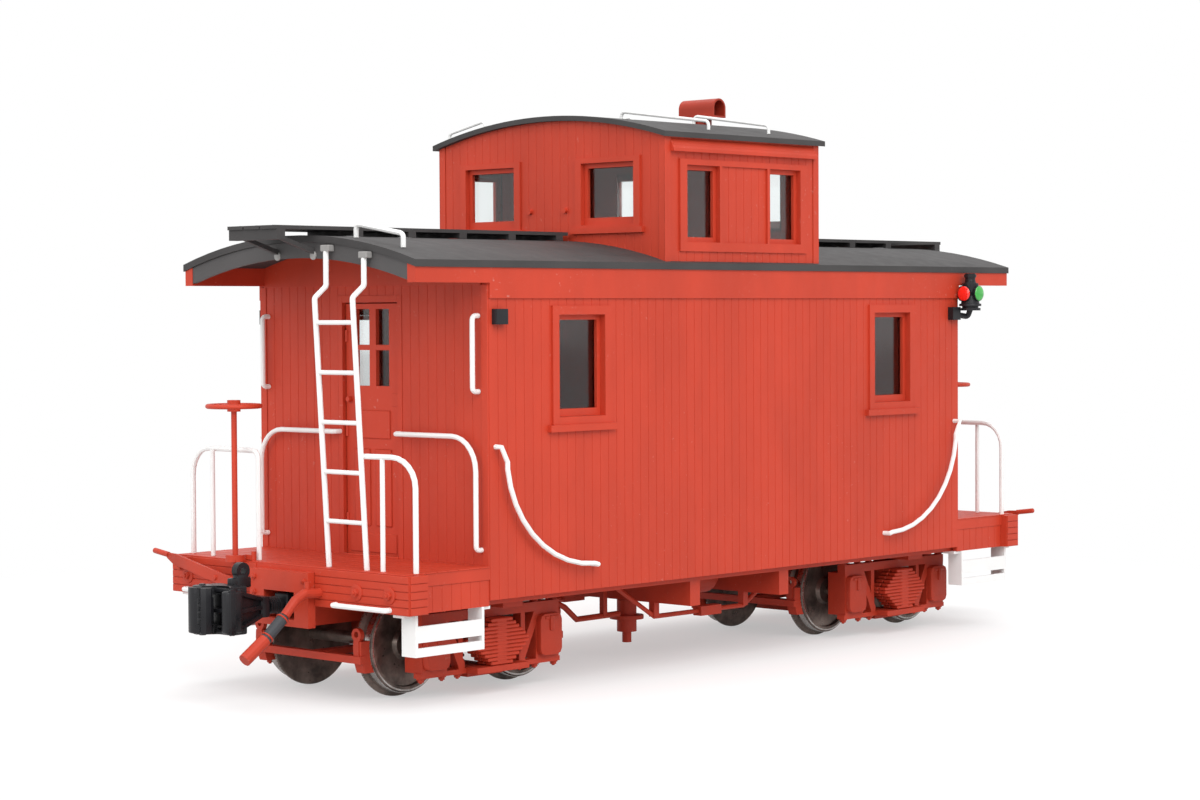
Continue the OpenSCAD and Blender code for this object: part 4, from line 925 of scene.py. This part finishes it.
class CABOOSE_OT_stage(bpy.types.Operator):
    """Studio floor, soft lamps, world light and camera"""
    bl_idname = "caboose.stage"
    bl_label = "Studio"

    floor_half = 6.0                           # metres
    shadow_reach, white_from = 0.16, 0.42      # metres from the model's centre
    camera_place = (-724.05, -670.5, 126.02)   # millimetres
    camera_turn = (46.586, -1.905, -0.299)     # yaw, pitch and roll in degrees
    camera_lens = 79.95

    def execute(self, context):
        scene = context.scene
        scene.view_settings.view_transform = "Standard"
        self.lay_floor(scene)
        self.hang_lamps(scene)
        self.set_camera(scene)
        return {"FINISHED"}

    def lay_floor(self, scene):
        bm = bmesh.new()
        bmesh.ops.create_grid(bm, x_segments=1, y_segments=1, size=self.floor_half)
        mesh = bpy.data.meshes.new("studio_floor")
        bm.to_mesh(mesh)
        bm.free()
        floor = bpy.data.objects.new("studio_floor", mesh)
        scene.collection.objects.link(floor)
        tone = scene.caboose_colours.floor
        finish = Finish("studio_floor")
        finish.colour(finish.ramp(finish.noise(3, 2), tone * 0.99, tone))
        finish.fixed(Roughness=0.9, Specular_IOR_Level=0.1)
        self.whiten(finish)
        mesh.materials.append(finish.material)

    def whiten(self, finish):
        """To the camera the floor is lifted to white away from the model, and its shadow stays near it."""
        nodes, links = finish.nodes, finish.links
        distance = finish.add("ShaderNodeVectorMath", operation="LENGTH")
        links.new(finish.place, distance.inputs[0])
        reach = finish.add("ShaderNodeMapRange", interpolation_type="SMOOTHSTEP")
        reach.inputs["From Min"].default_value = self.shadow_reach
        reach.inputs["From Max"].default_value = self.white_from
        links.new(distance.outputs["Value"], reach.inputs["Value"])
        share = finish.add("ShaderNodeMath", operation="MULTIPLY")
        rays = finish.add("ShaderNodeLightPath")
        links.new(reach.outputs["Result"], share.inputs[0])
        links.new(rays.outputs["Is Camera Ray"], share.inputs[1])
        glow = finish.add("ShaderNodeEmission")
        glow.inputs["Color"].default_value = (1, 1, 1, 1)
        glow.inputs["Strength"].default_value = 1.0
        near = finish.add("ShaderNodeEmission")
        near.inputs["Color"].default_value = (1, 1, 1, 1)
        strength = finish.add("ShaderNodeMapRange")
        strength.inputs["To Min"].default_value = 0.35
        strength.inputs["To Max"].default_value = 1.0
        links.new(rays.outputs["Is Camera Ray"], strength.inputs["Value"])
        links.new(strength.outputs["Result"], near.inputs["Strength"])
        lifted = finish.add("ShaderNodeMixShader")
        lifted.inputs["Fac"].default_value = 0.45
        links.new(finish.shader.outputs["BSDF"], lifted.inputs[1])
        links.new(near.outputs["Emission"], lifted.inputs[2])
        mix = finish.add("ShaderNodeMixShader")
        links.new(share.outputs["Value"], mix.inputs["Fac"])
        links.new(lifted.outputs["Shader"], mix.inputs[1])
        links.new(glow.outputs["Emission"], mix.inputs[2])
        links.new(mix.outputs["Shader"], nodes["Material Output"].inputs["Surface"])

    def hang_lamps(self, scene):
        aim = Vector((0, 0, 0.09))
        for name, place, size, power in (("key_lamp", (-0.55, -1.25, 1.15), 1.2, 17.5),
                                         ("end_lamp", (-1.5, -0.1, 0.75), 1.0, 6.2),
                                         ("top_lamp", (0.3, 0.5, 1.9), 1.6, 12.5)):
            light = bpy.data.lights.new(name, "AREA")
            light.energy = power
            light.size = size
            lamp = bpy.data.objects.new(name, light)
            lamp.location = place
            lamp.rotation_euler = (aim - Vector(place)).to_track_quat("-Z", "Y").to_euler()
            scene.collection.objects.link(lamp)
        world = bpy.data.worlds.new("studio_world")
        world.use_nodes = True
        scene.world = world
        nodes, links = world.node_tree.nodes, world.node_tree.links
        light = nodes["Background"]
        light.inputs["Color"].default_value = (1.0, 1.0, 1.0, 1)
        light.inputs["Strength"].default_value = 1.0
        white = nodes.new("ShaderNodeBackground")
        white.inputs["Color"].default_value = (1, 1, 1, 1)
        white.inputs["Strength"].default_value = 1.0
        rays = nodes.new("ShaderNodeLightPath")
        first = nodes.new("ShaderNodeMath")
        second = nodes.new("ShaderNodeMath")
        for node in (first, second):
            node.operation = "MAXIMUM"
        mix = nodes.new("ShaderNodeMixShader")
        links.new(rays.outputs["Is Camera Ray"], first.inputs[0])
        links.new(rays.outputs["Is Glossy Ray"], first.inputs[1])
        links.new(first.outputs[0], second.inputs[0])
        links.new(rays.outputs["Is Transmission Ray"], second.inputs[1])
        links.new(second.outputs[0], mix.inputs["Fac"])
        links.new(light.outputs["Background"], mix.inputs[1])
        links.new(white.outputs["Background"], mix.inputs[2])
        links.new(mix.outputs["Shader"], nodes["World Output"].inputs["Surface"])

    def set_camera(self, scene):
        lens_data = bpy.data.cameras.new("camera")
        lens_data.sensor_width = 36.0
        lens_data.lens = self.camera_lens
        lens_data.clip_start = 0.01
        lens_data.clip_end = 50.0
        camera = bpy.data.objects.new("camera", lens_data)
        camera.location = Vector(self.camera_place) * MM
        yaw, pitch, roll = (math.radians(a) for a in self.camera_turn)
        forward = Vector((math.sin(yaw) * math.cos(pitch), math.cos(yaw) * math.cos(pitch), math.sin(pitch)))
        turn = forward.to_track_quat("-Z", "Y").to_matrix().to_4x4() @ Matrix.Rotation(roll, 4, "Z")
        camera.rotation_euler = turn.to_euler()
        scene.collection.objects.link(camera)
        scene.camera = camera


STEPS = (
    "finishes", "side_boards", "end_boards", "cupola_boards", "deck", "beam_fittings", "ladder_brackets",
    "doors", "trucks", "wheels", "lamps", "couplers", "levers", "hoses", "roof", "stage",
)


class CABOOSE_PT_panel(bpy.types.Panel):
    """Sizes, colours and steps of the caboose"""
    bl_idname = "CABOOSE_PT_panel"
    bl_label = "Caboose"
    bl_space_type = "VIEW_3D"
    bl_region_type = "UI"
    bl_category = "Caboose"

    def draw(self, context):
        for group in (context.scene.caboose_sizes, context.scene.caboose_colours):
            box = self.layout.box()
            for key in group.__annotations__:
                box.prop(group, key)
        for step in STEPS:
            self.layout.operator(f"caboose.{step}")


CLASSES = (
    CabooseSizes, CabooseColours, CABOOSE_OT_finishes, CABOOSE_OT_side_boards, CABOOSE_OT_end_boards,
    CABOOSE_OT_cupola_boards, CABOOSE_OT_deck, CABOOSE_OT_beam_fittings, CABOOSE_OT_ladder_brackets,
    CABOOSE_OT_doors, CABOOSE_OT_trucks, CABOOSE_OT_wheels, CABOOSE_OT_lamps, CABOOSE_OT_couplers,
    CABOOSE_OT_levers, CABOOSE_OT_hoses, CABOOSE_OT_roof, CABOOSE_OT_stage, CABOOSE_PT_panel,
)


def register():
    for cls in CLASSES:
        bpy.utils.register_class(cls)
    bpy.types.Scene.caboose_sizes = bpy.props.PointerProperty(type=CabooseSizes)
    bpy.types.Scene.caboose_colours = bpy.props.PointerProperty(type=CabooseColours)


def unregister():
    del bpy.types.Scene.caboose_colours
    del bpy.types.Scene.caboose_sizes
    for cls in reversed(CLASSES):
        bpy.utils.unregister_class(cls)


def main():
    register()
    for step in STEPS:
        getattr(bpy.ops.caboose, step)()


if __name__ == "__main__":
    main()
